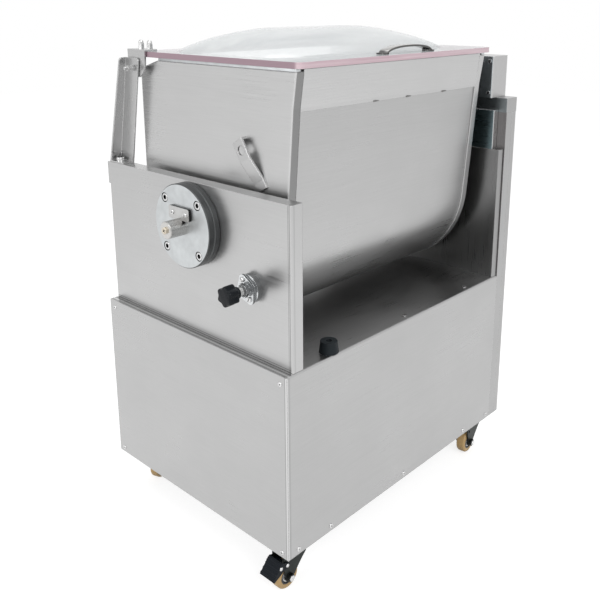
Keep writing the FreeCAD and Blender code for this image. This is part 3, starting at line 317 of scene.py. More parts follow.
def brushed_steel(name, along, tone=0.485, rough=0.3, edge=0.0012, shaded=None, shade=(0.44, 0.48, 0.5),
                  lines=()):
    """Satin stainless sheet. along is 0, 1 or 2 for a grain along X, Y or Z.

    shaded names a side, such as (0, -1), whose flat faces are painted darker towards shade:
    a painted dark reflection of what that side faces. lines are folds and seams, drawn in painted
    shade (dark tones) and painted highlights (light tones): each a side, an axis, a place on it, a
    half width and a tone."""
    material, tree, shader = start_finish(name)
    stretch = [grain_across] * 3
    stretch[along] = grain_along
    hairs = cloud(tree, own_place(tree, tuple(stretch)), 1.0, 4.0, 0.65)
    broad = [34.0] * 3
    broad[along] = 1.2
    bands = cloud(tree, own_place(tree, tuple(broad)), 1.0, 2.0, 0.5)
    smudge = cloud(tree, own_place(tree), 6.5, 4.0, 0.6)
    rounded, rims = soft_edges(tree, edge)
    fine = mix_colour(tree, spread(tree, hairs, 0.0, 1.0), grey(tone * 0.955), grey(tone * 1.045))
    banded = mix_colour(tree, spread(tree, bands, 0.0, 0.25), fine, grey(tone * 1.06))
    clouded = mix_colour(tree, spread(tree, smudge, 0.0, 0.3), banded, grey(tone * 0.9))
    # Painted highlight: the edge mask lightens folds and cut edges towards a brighter grey.
    rimmed = mix_colour(tree, sum_up(tree, rims, 0.45, "MULTIPLY"), clouded, grey(min(tone * 1.5, 0.9)))
    # Painted shade: flat faces on the shaded side are darkened, a painted dark reflection; rims are darkened
    # less.
    if shaded is not None:
        on_flats = sum_up(tree, side_mask(tree, *shaded), spread(tree, rims, 1.0, 0.3, 0.2, 0.8), "MULTIPLY")
        rimmed = mix_colour(tree, on_flats, rimmed, shade)
    # Painted shade and highlights: each line darkens a narrow strip as shade in a seam or crease, or lightens
    # it as a highlight on a bend.
    for side, axis, place, half_width, line_tone in lines:
        line = sum_up(tree, stripe(tree, axis, place, half_width), side_mask(tree, *side), "MULTIPLY")
        rimmed = mix_colour(tree, line, rimmed, grey(line_tone))
    tree.links.new(rimmed, shader.inputs["Base Color"])
    shader.inputs["Metallic"].default_value = 1.0
    uneven = sum_up(tree, spread(tree, hairs, rough - 0.04, rough + 0.05),
                    spread(tree, smudge, -0.03, 0.05))
    tree.links.new(sum_up(tree, uneven, sum_up(tree, rims, -0.08, "MULTIPLY")), shader.inputs["Roughness"])
    roughen(tree, shader, hairs, 0.03, 0.0002, rounded)
    return material


steel_x = brushed_steel("brushed_stainless_x", 0)
steel_y = brushed_steel("brushed_stainless_y", 1)
steel_z = brushed_steel("brushed_stainless_z", 2)
print("Plain sheet with its grain along X, Y or Z")

# %% Measure out the fold lines and seams
panel_x, panel_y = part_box("left_end_panel")[0][:2]
upright_side, upright_front, upright_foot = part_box("left_upright")[0]
left_side, front_side, top_side = (0, -1), (1, -1), (2, 1)
# Fold lines and seams are painted: the dark tones are painted shade in seams and creases, the light ones
# (0.62, 0.7) painted highlights on bends.
corner_fold = [(left_side, 1, panel_y + 0.0012, 0.0009, 0.62), (left_side, 1, panel_y + 0.0034, 0.0003, 0.2)]
deck_fold = [(front_side, 0, panel_x + 0.0016, 0.0012, 0.62), (front_side, 0, panel_x + 0.0042, 0.0003, 0.24),
             (front_side, 0, panel_x + 0.0058, 0.0003, 0.3)]
upright_folds = [(left_side, 1, upright_front + 0.0034, 0.00035, 0.1),
                 (left_side, 1, upright_front + 0.0058, 0.0003, 0.16),
                 (left_side, 2, upright_foot + 0.0016, 0.0004, 0.1),
                 (left_side, 2, upright_foot + 0.0048, 0.00035, 0.14),
                 (front_side, 0, upright_side + 0.0052, 0.0009, 0.4)]
ledge = upright_side - panel_x
ledge_seams = [(top_side, 0, panel_x + ledge * 0.22, 0.0004, 0.12),
               (top_side, 0, panel_x + ledge * 0.5, 0.0009, 0.7),
               (top_side, 0, panel_x + ledge * 0.8, 0.0005, 0.08)]
print("The deck's ledge beside the left upright is", round(ledge * 1000, 1), "mm wide")

# %% Mix a sheet for each panel
# Each sheet's tone is set to how bright that panel looks, so the spread of tones is partly the sheets' own
# and partly painted light and shade.
cabinet_x = brushed_steel("cabinet_sheet_x", 0, tone=0.435, edge=0.002, lines=deck_fold + ledge_seams)
cabinet_y = brushed_steel("cabinet_sheet_y", 1, tone=0.45, lines=corner_fold + ledge_seams)
upright_y = brushed_steel("upright_sheet", 1, lines=upright_folds)
shell_steel = brushed_steel("trough_sheet", 0, tone=0.455)
# The left head's faces towards -Y are painted darker: a painted dark reflection along its front flange.
head_left = brushed_steel("left_head_sheet", 1, tone=0.53, edge=0.0032, shaded=front_side, shade=grey(0.24))
head_right = brushed_steel("right_head_sheet", 1, tone=0.51, edge=0.002)
lip_steel = brushed_steel("lip_sheet", 0, tone=0.53, edge=0.0008)
# The -X faces of the hinge box, switch guard, housing cap and drive housing get painted shade, a painted dark
# reflection of what they face.
hinge_painted_reflection = brushed_steel("hinge_sheet_painted_reflection", 1, shaded=left_side)
guard_steel = brushed_steel("guard_sheet", 1, shaded=left_side, shade=(0.2, 0.27, 0.29))
cap_steel = brushed_steel("cap_sheet", 1, tone=0.4, shaded=left_side, shade=(0.3, 0.33, 0.34))
housing_z = brushed_steel("housing_sheet", 2, tone=0.4, shaded=left_side, shade=(0.27, 0.26, 0.26))
post_steel = brushed_steel("right_post_sheet", 2, tone=0.31)
print("Twelve more sheets, some with a dark side or with fold lines")

# %% [markdown]
# ## Turned, cast and moulded finishes
#
# The flange and the plunger plate are zinc plated: paler and bluer than the sheet, with a
# cloudy satin bloom. Turned pins shine in fine rings. Rubber, knob plastic and the
# polyurethane tyres are matt, and take their life from a slight mottling and from a painted
# highlight on their edges.

# %% Mix the other metals
def satin_metal(name, tone, rough, tint=(1.0, 1.0, 1.0), mottle=60.0, depth=0.1, rim_side=None,
                rim_share=0.24):
    """A plated, turned or cast metal with a cloudy surface.

    rim_side is the axis of a disc or plate whose edge is painted darker than its two faces, as painted shade."""
    material, tree, shader = start_finish(name)
    blotch = cloud(tree, own_place(tree), mottle, 5.0, 0.6)
    fine = cloud(tree, own_place(tree), mottle * 14, 2.0, 0.5)
    rounded, rims = soft_edges(tree, 0.0005)
    dark = tuple(tone * (1 - depth) * part for part in tint)
    light = tuple(min(tone * (1 + depth) * part, 0.95) for part in tint)
    rim_tone = tuple(min(tone * 1.4 * part, 0.95) for part in tint)
    body = mix_colour(tree, spread(tree, blotch, 0.0, 1.0), dark, light)
    # Painted highlight: sharp edges are lightened towards rim_tone by the edge mask.
    body = mix_colour(tree, sum_up(tree, rims, 0.4, "MULTIPLY"), body, rim_tone)
    # Painted shade: faces that do not look along rim_side, the edge of a disc or plate, are darkened to
    # rim_share of the dark tone.
    if rim_side is not None:
        faces = sum_up(tree, side_mask(tree, rim_side, 1), side_mask(tree, rim_side, -1), "MAXIMUM")
        body = mix_colour(tree, faces, tuple(rim_share * part for part in dark), body)
    tree.links.new(body, shader.inputs["Base Color"])
    shader.inputs["Metallic"].default_value = 1.0
    tree.links.new(sum_up(tree, spread(tree, blotch, rough - 0.05, rough + 0.07),
                          spread(tree, fine, -0.02, 0.04)), shader.inputs["Roughness"])
    roughen(tree, shader, fine, 0.1, 0.0002, rounded)
    return material


zinc = satin_metal("zinc_plate", 0.62, 0.34, (0.95, 0.98, 1.0))
# The plunger housing, flange, keeper plate, end pin and handle below get painted shade on their edges or
# sides through rim_side.
bright_zinc = satin_metal("bright_zinc", 0.62, 0.16, (0.96, 0.985, 1.0), rim_side=0, rim_share=0.34)
flange_zinc = satin_metal("zinc_disc", 0.56, 0.34, (0.95, 0.985, 1.0), rim_side=0, rim_share=0.19)
dark_edged = satin_metal("dark_edged_plate", 0.5, 0.3, (1.0, 1.0, 0.99), rim_side=0, rim_share=0.05)
# Painted shade: a near-black for the faces of screw drives and for the dark discs under the flange screws.
recess_dark = satin_metal("recess_painted_shade", 0.03, 0.5, depth=0.3)
weld = satin_metal("weld_bead", 0.2, 0.4, (1.0, 0.98, 0.96), 300.0, 0.3)
turned = satin_metal("turned_steel", 0.6, 0.22, (1.0, 0.99, 0.97), 120.0, 0.12)
turned_pin = satin_metal("turned_pin", 0.56, 0.24, (1.0, 0.985, 0.96), 40.0, 0.05, rim_side=0,
                         rim_share=0.8)
screw_steel = satin_metal("screw_steel", 0.5, 0.26, (1.0, 1.0, 1.0), 200.0, 0.12)
bronze = satin_metal("bush_bronze", 0.45, 0.35, (1.0, 0.72, 0.42), 90.0, 0.14)
brass = satin_metal("brass_screw", 0.6, 0.28, (1.0, 0.9, 0.74), 150.0, 0.12)
cast = satin_metal("cast_housing", 0.32, 0.55, (0.95, 1.0, 1.03), 45.0, 0.18)
polished = satin_metal("polished_steel", 0.62, 0.12, (1.0, 1.0, 1.0), 40.0, 0.06)
bow_steel = satin_metal("polished_bow", 0.46, 0.14, (1.0, 0.99, 0.97), 40.0, 0.08, rim_side=2,
                        rim_share=0.3)
print("Fourteen more metals")


# %% Mix the plastics and rubbers
def moulded(name, colour, edge_light, rough, grain=900.0, relief=0.25, mottle=35.0, sheen_level=0.5):
    """A moulded or cast polymer: its colour, a lighter tint on edges that is a painted highlight, and a fine
    leathery skin.
    """
    material, tree, shader = start_finish(name)
    blotch = cloud(tree, own_place(tree), mottle, 4.0, 0.6)
    skin = cloud(tree, own_place(tree), grain, 2.0, 0.5)
    rounded, rims = soft_edges(tree, 0.0006)
    deep = tuple(part * 0.82 for part in colour)
    body = mix_colour(tree, spread(tree, blotch, 0.0, 1.0), deep, colour)
    # Painted highlight: edges are lightened towards edge_light by the edge mask.
    tree.links.new(mix_colour(tree, sum_up(tree, rims, 0.5, "MULTIPLY"), body, edge_light),
                   shader.inputs["Base Color"])
    tree.links.new(sum_up(tree, spread(tree, blotch, rough - 0.06, rough + 0.08),
                          spread(tree, skin, -0.02, 0.04)), shader.inputs["Roughness"])
    shader.inputs["Specular IOR Level"].default_value = sheen_level
    roughen(tree, shader, skin, relief, 0.0003, rounded)
    return material


black_plastic = moulded("knob_plastic", (0.006, 0.008, 0.0105), (0.11, 0.12, 0.13), 0.22, relief=0.12,
                        sheen_level=0.16)
black_rubber = moulded("stop_rubber", (0.011, 0.015, 0.018), (0.05, 0.056, 0.06), 0.5, 700.0, 0.4,
                       sheen_level=0.18)
pedal_plastic = moulded("pedal_plastic", (0.005, 0.0075, 0.0115), (0.06, 0.07, 0.08), 0.4, sheen_level=0.12)
tyre = moulded("tyre_polyurethane", (0.56, 0.37, 0.16), (0.66, 0.48, 0.26), 0.42, 500.0, 0.2)
green_cap = moulded("green_button", (0.03, 0.28, 0.08), (0.1, 0.36, 0.14), 0.3)
red_cap = moulded("red_button", (0.5, 0.02, 0.02), (0.58, 0.1, 0.08), 0.3)
dark_fork = satin_metal("dark_zinc_fork", 0.034, 0.4, (0.9, 1.0, 0.95), 70.0, 0.3)
print("Six polymers and the forks' dark plating")

# %% [markdown]
# ## Clear acrylic
#
# The lid is one sheet of clear acrylic, warmed and blown into a dome. A solid glass shader
# bends the dark trough into every curve of such a thick sheet, and that reads as crystal. Here
# the sheet is a film instead: a pale body, seen through where it faces the eye and denser
# where it is seen edge on, with a hard gloss on top. What makes it read as acrylic is its cut
# edge, where the light has travelled a long way through the sheet and comes out mauve.

# %% Mix the acrylic
acrylic, acrylic_tree, acrylic_shader = start_finish("clear_acrylic")
side_on = acrylic_tree.nodes.new("ShaderNodeTexCoord")
split = acrylic_tree.nodes.new("ShaderNodeSeparateXYZ")
acrylic_tree.links.new(side_on.outputs["Normal"], split.inputs[0])
steepness = sum_up(acrylic_tree, split.outputs["Z"], 2.0, "POWER")
cut_edge = spread(acrylic_tree, steepness, 1.0, 0.0, 0.0, 0.03)
wipe = cloud(acrylic_tree, own_place(acrylic_tree, (3.0, 9.0, 22.0)), 1.0, 4.0, 0.55)
film = mix_colour(acrylic_tree, spread(acrylic_tree, wipe, 0.0, 1.0), (0.62, 0.645, 0.655),
                  (0.77, 0.785, 0.79))
edge_drift = cloud(acrylic_tree, own_place(acrylic_tree, (9.0, 9.0, 320.0)), 1.0, 3.0, 0.5)
front_mauve = mix_colour(acrylic_tree, spread(acrylic_tree, edge_drift, 0.0, 1.0), (0.56, 0.4, 0.45),
                         (0.7, 0.56, 0.6))
# Painted shade: cut edges that face -X are given a darker mauve than the front ones.
mauve = mix_colour(acrylic_tree, side_mask(acrylic_tree, 0, -1), front_mauve, (0.35, 0.24, 0.28))
acrylic_tree.links.new(mix_colour(acrylic_tree, cut_edge, film, mauve), acrylic_shader.inputs["Base Color"])
acrylic_tree.links.new(spread(acrylic_tree, wipe, 0.04, 0.12), acrylic_shader.inputs["Roughness"])
grazing = acrylic_tree.nodes.new("ShaderNodeLayerWeight")
grazing.inputs["Blend"].default_value = 0.35
body_density = spread(acrylic_tree, grazing.outputs["Facing"], 0.4, 0.72, 0.0, 0.9)
cloudiness = sum_up(acrylic_tree, body_density, spread(acrylic_tree, wipe, -0.04, 0.06))
acrylic_tree.links.new(sum_up(acrylic_tree, cloudiness, cut_edge, "MAXIMUM"), acrylic_shader.inputs["Alpha"])
acrylic_shader.inputs["IOR"].default_value = 1.49
print("Clear acrylic with a mauve edge")

# %% [markdown]
# ## Tools for new pieces
#
# The screws, the wheels, the knob and the weld beads are modelled here, because their soft
# corners and recesses are too fine for the solid model. Most of them are turned or round
# things, so one helper spins an outline about Z, another stands the result on its place, and a
# third makes one mesh of several.

# %% Spin, place, gather and keep
def lathe(outline, steps=48, closed=False):
    """Spins an outline of (radius, height) pairs about Z."""
    shape = bmesh.new()
    spots = [shape.verts.new((radius, 0.0, height)) for radius, height in outline]
    lines = [shape.edges.new(pair) for pair in zip(spots, spots[1:])]
    if closed:
        lines.append(shape.edges.new((spots[-1], spots[0])))
    bmesh.ops.spin(shape, geom=spots + lines, cent=(0.0, 0.0, 0.0), axis=(0.0, 0.0, 1.0),
                   angle=2 * math.pi, steps=steps, use_merge=True, use_duplicate=False)
    bmesh.ops.remove_doubles(shape, verts=shape.verts, dist=1e-6)
    bmesh.ops.recalc_face_normals(shape, faces=shape.faces)
    return shape


def stand_at(shape, place, direction, turn=0.0):
    """Turns a shape about Z, points its Z along a direction and moves it to its place."""
    aim = Vector((0.0, 0.0, 1.0)).rotation_difference(Vector(direction)).to_matrix().to_4x4()
    moved = Matrix.Translation(Vector(place)) @ aim @ Matrix.Rotation(turn, 4, "Z")
    bmesh.ops.transform(shape, matrix=moved, verts=shape.verts)
    return shape


def gather(shapes):
    """Makes one mesh of several."""
    whole = bmesh.new()
    for shape in shapes:
        share = bpy.data.meshes.new("share")
        shape.to_mesh(share)
        shape.free()
        whole.from_mesh(share)
        bpy.data.meshes.remove(share)
    return whole


def keep_piece(name, shape, finishes, body, slot, *stands_for, smooth=35.0):
    """Turns a shape into a piece that rides on its body."""
    data = bpy.data.meshes.new(name)
    for face in shape.faces:
        face.smooth = True
    shape.to_mesh(data)
    shape.free()
    data.set_sharp_from_angle(angle=math.radians(smooth))
    for finish in finishes:
        data.materials.append(finish)
    piece = bpy.data.objects.new(name, data)
    bpy.context.scene.collection.objects.link(piece)
    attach(piece, body)
    if stands_for:
        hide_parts(*stands_for)
    print(name, "has", len(data.polygons), "faces")
    return piece


# %% [markdown]
# ## Screws with real drives
#
# A screw's drive is a recess whose outline can be told as a radius for each angle: constant
# across a flat for a hexagon, or the width of a slot. The head starts as a capped circle, its
# wall is extruded and its rim bevelled. The top face is then inset, its corners are moved out or
# in to the drive's outline, and the drive is pushed down. Its faces get a dark finish, painted
# shade in the recess.

# %% Cut a head with its drive
def hexagon(across):
    def radius(angle):
        return across / 2 / math.cos((angle + math.pi / 6) % (math.pi / 3) - math.pi / 6)
    return radius


def slot_cut(length, width, both_ways=False):
    def radius(angle):
        sine, cosine = abs(math.sin(angle)), abs(math.cos(angle))
        across = min(sine, cosine) if both_ways else sine
        return min(length / 2, width / 2 / max(across, 1e-6))
    return radius


def screw_head(radius, height, round_rim, drive, depth, outline=None, segments=48):
    """A head that stands on Z = 0. outline makes it other than round."""
    shape = bmesh.new()
    bmesh.ops.create_circle(shape, cap_ends=True, segments=segments, radius=radius)
    if outline is not None:
        for spot in shape.verts:
            angle = math.atan2(spot.co.y, spot.co.x)
            spot.co = Vector((math.cos(angle), math.sin(angle), 0.0)) * outline(angle)
    raised = bmesh.ops.extrude_face_region(shape, geom=shape.faces[:])
    top_spots = [item for item in raised["geom"] if isinstance(item, bmesh.types.BMVert)]
    bmesh.ops.translate(shape, verts=top_spots, vec=(0.0, 0.0, height))
    rim = [edge for edge in shape.edges if all(spot in top_spots for spot in edge.verts)]
    bmesh.ops.bevel(shape, geom=rim, offset=round_rim, offset_type="OFFSET", segments=4, profile=0.5,
                    affect="EDGES", material=-1)
    bmesh.ops.recalc_face_normals(shape, faces=shape.faces)
    top = max(shape.faces, key=lambda face: (round(face.calc_center_median().z, 7), len(face.verts)))
    bmesh.ops.inset_region(shape, faces=[top], thickness=round_rim * 0.2, depth=0.0)
    for spot in top.verts:
        angle = math.atan2(spot.co.y, spot.co.x)
        reach = drive(angle)
        spot.co.x, spot.co.y = reach * math.cos(angle), reach * math.sin(angle)
    before = set(shape.faces)
    bmesh.ops.inset_region(shape, faces=[top], thickness=1e-5, depth=-depth)
    for face in [top] + [face for face in shape.faces if face not in before]:
        face.material_index = 1
    return shape


print("Screw heads can be cut")

# %% Find every plain screw of a node
def islands(node):
    """The box of each separate solid in a node, as its low and its high corner."""
    shape = bmesh.new()
    shape.from_mesh(nodes[node].data)
    shape.transform(nodes[node].matrix_world)
    bmesh.ops.remove_doubles(shape, verts=shape.verts, dist=1e-6)
    left = set(shape.verts)
    boxes = []
    while left:
        front = [left.pop()]
        found = []
        while front:
            spot = front.pop()
            found.append(spot.co.copy())
            for edge in spot.link_edges:
                other = edge.other_vert(spot)
                if other in left:
                    left.remove(other)
                    front.append(other)
        low = Vector([min(spot[axis] for spot in found) for axis in range(3)])
        high = Vector([max(spot[axis] for spot in found) for axis in range(3)])
        boxes.append((low, high))
    shape.free()
    return sorted(boxes, key=lambda pair: tuple(round(value, 5) for value in pair[0]))


def seat_of(low, high, middle):
    """Where a flat head sits, which way it looks, its radius and its height."""
    size = high - low
    axis = min(range(3), key=lambda number: size[number])
    centre = (low + high) / 2
    direction = Vector((0.0, 0.0, 0.0))
    direction[axis] = 1.0 if centre[axis] > middle[axis] else -1.0
    seat = centre - direction * size[axis] / 2
    radius = max(size) / 2
    return seat, direction, radius, size[axis]


heart = (Vector(cad_bounds[0]) + Vector(cad_bounds[1])) / 2
print("The panel screws are", len(islands("panel_screws")))

# %% Panel screws with domed heads and cross drives
drive_turn = 0.9
heads = []
for number, (low, high) in enumerate(islands("panel_screws")):
    seat, direction, radius, height = seat_of(low, high, heart)
    head = screw_head(radius, height, height * 0.8, slot_cut(radius * 0.9, radius * 0.2, True), height * 0.6)
    heads.append(stand_at(head, seat, direction, number * drive_turn))
keep_piece("panel_screw_heads", gather(heads), [polished, recess_dark], "machine_frame", "machined",
           "panel_screws")

# %% Socket screws of the end flange
screw_low, screw_high = (Vector(corner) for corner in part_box("flange_screws"))
socket_radius = 0.0059
cad_head_radius = 0.0065
socket_depth = 0.003
socket_height = 0.0045
well_radius = 0.00695
well_depth = 0.0006
turn_per_metre = 200
face_x = screw_low.x
heads = []
wells = []
for y in (screw_low.y + cad_head_radius, screw_high.y - cad_head_radius):
    for z in (screw_low.z + cad_head_radius, screw_high.z - cad_head_radius):
        head = screw_head(socket_radius, socket_height, 0.0006, hexagon(0.0062), socket_depth)
        heads.append(stand_at(head, (face_x + 0.0047, y, z), (-1, 0, 0), y * turn_per_metre))
        # A thin dark disc, a little wider than the head, lies under each socket head: painted shade round it.
        well = lathe([(0.0, 0.0), (well_radius, 0.0), (well_radius, well_depth), (0.0, well_depth)], 40)
        wells.append(stand_at(well, (face_x + 0.0046, y, z), (-1, 0, 0)))
keep_piece("flange_socket_screws", gather(heads), [polished, recess_dark], "machine_frame", "machined",
           "flange_screws")
keep_piece("flange_screw_shade_discs", gather(wells), [recess_dark], "machine_frame", "machined")

# %% The other small screws, each with the drive of its kind
cross_heads = []
slot_heads = []
for number, (low, high) in enumerate(islands("small_screws")):
    seat, direction, radius, height = seat_of(low, high, heart)
    if abs(height - 0.003) < 1e-4 and direction.z == 0.0:
        hexed = hexagon(2 * radius * math.cos(math.pi / 6))
        head = screw_head(radius, height, height * 0.2, slot_cut(radius, radius * 0.22, True), height * 0.4,
                          hexed)
        keep_piece("end_pin_screw", stand_at(head, seat, direction, math.pi / 6), [brass, recess_dark],
                   "machine_frame", "machined")
    elif abs(height - 0.0025) < 1e-4:
        head = screw_head(radius, height, height * 0.3, slot_cut(radius * 1.7, radius * 0.3), height * 0.5)
        slot_heads.append(stand_at(head, seat, direction, number * drive_turn))
    elif height > 0.004:
        head = screw_head(radius, height, height * 0.2, hexagon(radius), height * 0.5)
        slot_heads.append(stand_at(head, seat, direction, number * drive_turn))
    else:
        head = screw_head(radius, height, height * 0.6, slot_cut(radius, radius * 0.22, True), height * 0.5)
        cross_heads.append(stand_at(head, seat, direction, number * drive_turn))
keep_piece("small_screw_heads", gather(cross_heads + slot_heads), [polished, recess_dark],
           "machine_frame", "machined", "small_screws")

# %% [markdown]
# ## Casters
#
# A caster wheel of this kind is a polyurethane tread cast round a black core, with a bearing
# cap in the middle. The tread is one spun outline with rounded shoulders and a faint mould line
# round its middle. The core is dished on both sides and holds the bearing's bright ring. The
# axle of each fork ends in a bright nut, and the brake pedal's pin in a rivet head.

# %% Wheels with a tread and a core
def shoulder(radius, half, round_by, count=5):
    """The rounded corner of a tread, as a quarter circle of points."""
    return [(radius - round_by + round_by * math.sin(math.pi / 2 * step / count),
             half - round_by + round_by * math.cos(math.pi / 2 * step / count)) for step in range(count + 1)]


def make_wheel(corner):
    node = "caster_wheel_" + corner
    body = "wheel_" + corner
    low, high = (Vector(value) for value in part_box(node))
    centre = (low + high) / 2
    axle = next(joint["axis"] for joint in frame["joints"] if joint["name"] == "roll_" + corner)
    radius = (high.z - low.z) / 2
    half = 0.008
    core = radius * 0.64
    line = 0.0002
    upper = shoulder(radius, half, 0.0036)
    lower = [(spot, -height) for spot, height in reversed(upper)]
    tread = [(core, half - 0.0006), (core + 0.0008, half)] + upper + [(radius, line), (radius - line, 0.0)]
    tread += [(radius, -line)] + lower + [(core + 0.0008, -half), (core, -half + 0.0006)]
    tread_shape = stand_at(lathe(tread, 72, True), centre, axle)
    keep_piece(node + "_tread", tread_shape, [tyre], body, "tan_tyre", node)
    bore = 0.0044
    rim = [(bore, half + 0.0004), (bore + 0.003, half + 0.0004), (bore + 0.0036, half - 0.0018),
           (core - 0.0022, half - 0.0018), (core - 0.0016, half - 0.0004), (core - 0.0002, half - 0.0004)]
    outline = rim + [(spot, -height) for spot, height in reversed(rim)]
    parts = [lathe(outline, 72, True)]
    for way in (-1, 1):
        ring = [(core * 0.55, way * (half - 0.002)), (core * 0.57, way * (half - 0.001)),
                (core * 0.71, way * (half - 0.001)), (core * 0.73, way * (half - 0.002))]
        ring_shape = lathe(ring, 72, True)
        for face in ring_shape.faces:
            face.material_index = 1
        parts.append(ring_shape)
    keep_piece(node + "_core", stand_at(gather(parts), centre, axle), [wheel_core, screw_steel], body,
               "black_plastic")


wheel_core = moulded("wheel_core", (0.03, 0.031, 0.034), (0.09, 0.09, 0.09), 0.4)
corners = ("front_left", "front_right", "rear_left", "rear_right")
for corner in corners:
    make_wheel(corner)

# %% Bright axle nuts and pedal rivets
nut_seat = 0.0157
nut_across = 0.0086
nut_height = 0.0016
pedal_half = 0.014
rivet_radius = 0.0029
second_rivet = Vector((-0.0125, 0.0, 0.0015))
rivet_dome = [(0.0, 0.0)] + [(rivet_radius * math.cos(step * math.pi / 10),
                              0.0017 * math.sin(step * math.pi / 10)) for step in range(6)]


def joint_of(name):
    return next(joint for joint in frame["joints"] if joint["name"] == name)


for corner in corners:
    low, high = (Vector(value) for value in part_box("caster_wheel_" + corner))
    centre = (low + high) / 2
    axle = Vector(joint_of("roll_" + corner)["axis"])
    nuts = []
    for way in (-1, 1):
        nut = screw_head(nut_across / 2, nut_height, 0.0006, hexagon(0.003), 0.0004, hexagon(nut_across))
        nuts.append(stand_at(nut, centre + axle * way * nut_seat, axle * way, 0.3))
    keep_piece("axle_nuts_" + corner, gather(nuts), [polished, polished], "caster_" + corner, "dark_fork")
    if not corner.endswith("left"):
        continue
    pivot = Vector(joint_of("brake_" + corner)["pos_m"])
    middle_pivot = pivot - axle * (pivot - centre).dot(axle)
    trail = Vector((axle.y, -axle.x, 0.0))
    along = trail * second_rivet.x + Vector((0.0, 0.0, second_rivet.z))
    rivets = []
    for way in (-1, 1):
        for spot in (middle_pivot, middle_pivot + along):
            rivets.append(stand_at(lathe(rivet_dome, 28), spot + axle * way * pedal_half, axle * way))
    keep_piece("pedal_rivets_" + corner, gather(rivets), [polished], "pedal_" + corner, "black_plastic")

# %% [markdown]
# ## The plunger's knob
#
# A six-lobed knob is a circle whose radius swells and sinks six times. The outline is extruded,
# both its rims are bevelled, and a short turned neck joins it to the pin. Soft rims matter here:
# the two bright lines that they catch are what shows the lobes on a black knob.

# %% Mould the lobed knob
knob_low, knob_high = (Vector(corner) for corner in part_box("plunger_knob"))
knob_centre = (knob_low + knob_high) / 2
knob_reach = (knob_high.z - knob_low.z) / 2
knob_neck = 0.006
knob_rim = 0.0022
lobes = 6
lobe_depth = 0.09


def lobed(angle):
    return knob_reach * (1.0 - lobe_depth + lobe_depth * math.cos(lobes * angle))


knob_deep = knob_high.x - knob_low.x - knob_neck
knob = bmesh.new()
bmesh.ops.create_circle(knob, cap_ends=True, segments=144, radius=knob_reach)
for spot in knob.verts:
    angle = math.atan2(spot.co.y, spot.co.x)
    spot.co = Vector((math.cos(angle), math.sin(angle), 0.0)) * lobed(angle)
raised = bmesh.ops.extrude_face_region(knob, geom=knob.faces[:])
top_spots = [item for item in raised["geom"] if isinstance(item, bmesh.types.BMVert)]
bmesh.ops.translate(knob, verts=top_spots, vec=(0.0, 0.0, knob_deep))
rims = [edge for edge in knob.edges if abs(edge.verts[0].co.z - edge.verts[1].co.z) < 1e-7]
bmesh.ops.bevel(knob, geom=rims, offset=knob_rim, offset_type="OFFSET", segments=5, profile=0.5,
                affect="EDGES", material=-1)
bmesh.ops.recalc_face_normals(knob, faces=knob.faces)
stand_at(knob, (knob_high.x - knob_neck, knob_centre.y, knob_centre.z), (-1, 0, 0))
neck = lathe([(0.0, 0.0), (0.0082, 0.0), (0.0082, knob_neck * 0.8), (0.0074, knob_neck + 0.001),
              (0.0, knob_neck + 0.001)], 48)
stand_at(neck, (knob_high.x, knob_centre.y, knob_centre.z), (-1, 0, 0))
keep_piece("lobed_knob", gather([knob, neck]), [black_plastic], "index_plunger", "black_plastic",
           "plunger_knob", smooth=50.0)

# %% [markdown]
# ## The bow handle
#
# The handle is a flat strap bent into a low bow: it leaves its feet steeply and runs nearly
# level over the fingers. Such a curve is a superellipse, here a little squarer than an ellipse.
# Its points are joined by edges, the line is extruded to the strap's width, and the sheet is
# then given its thickness and rounded.

# %% Bend the handle
strap_low, strap_high = (Vector(corner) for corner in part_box("lid_handle"))
foot_half = 0.007
foot_thick = 0.0022
strap_thick = 0.003
bow_steps = 32
bow_squareness = 0.88
bow_middle = (strap_low.x + strap_high.x) / 2
bow_half = (strap_high.x - strap_low.x) / 2 - foot_half
bow_rise = strap_high.z - strap_low.z - strap_thick / 2
bow = bmesh.new()
bow_spots = []
for step in range(bow_steps + 1):
    angle = math.pi * step / bow_steps
    across = math.copysign(abs(math.cos(angle)) ** bow_squareness, math.cos(angle))
    rise = math.sin(angle) ** bow_squareness if 0 < step < bow_steps else 0.0
    x, z = bow_middle + bow_half * across, strap_low.z + bow_rise * rise
    bow_spots.append(bow.verts.new((x, strap_low.y, z)))
bow_lines = [bow.edges.new(pair) for pair in zip(bow_spots, bow_spots[1:])]
swept = bmesh.ops.extrude_edge_only(bow, edges=bow_lines)
moved = [item for item in swept["geom"] if isinstance(item, bmesh.types.BMVert)]
bmesh.ops.translate(bow, verts=moved, vec=(0.0, strap_high.y - strap_low.y, 0.0))
bmesh.ops.recalc_face_normals(bow, faces=bow.faces)
bmesh.ops.solidify(bow, geom=bow.faces[:], thickness=strap_thick)
for spot in bow.verts:
    spot.co.z = min(max(spot.co.z, strap_low.z), strap_high.z)
bmesh.ops.recalc_face_normals(bow, faces=bow.faces)
long_edges = [edge for edge in bow.edges if len(edge.link_faces) == 2
              and edge.calc_face_angle(0.0) > math.radians(60)]
bmesh.ops.bevel(bow, geom=long_edges, offset=0.0006, offset_type="OFFSET", segments=2, profile=0.5,
                affect="EDGES", material=-1)
feet = []
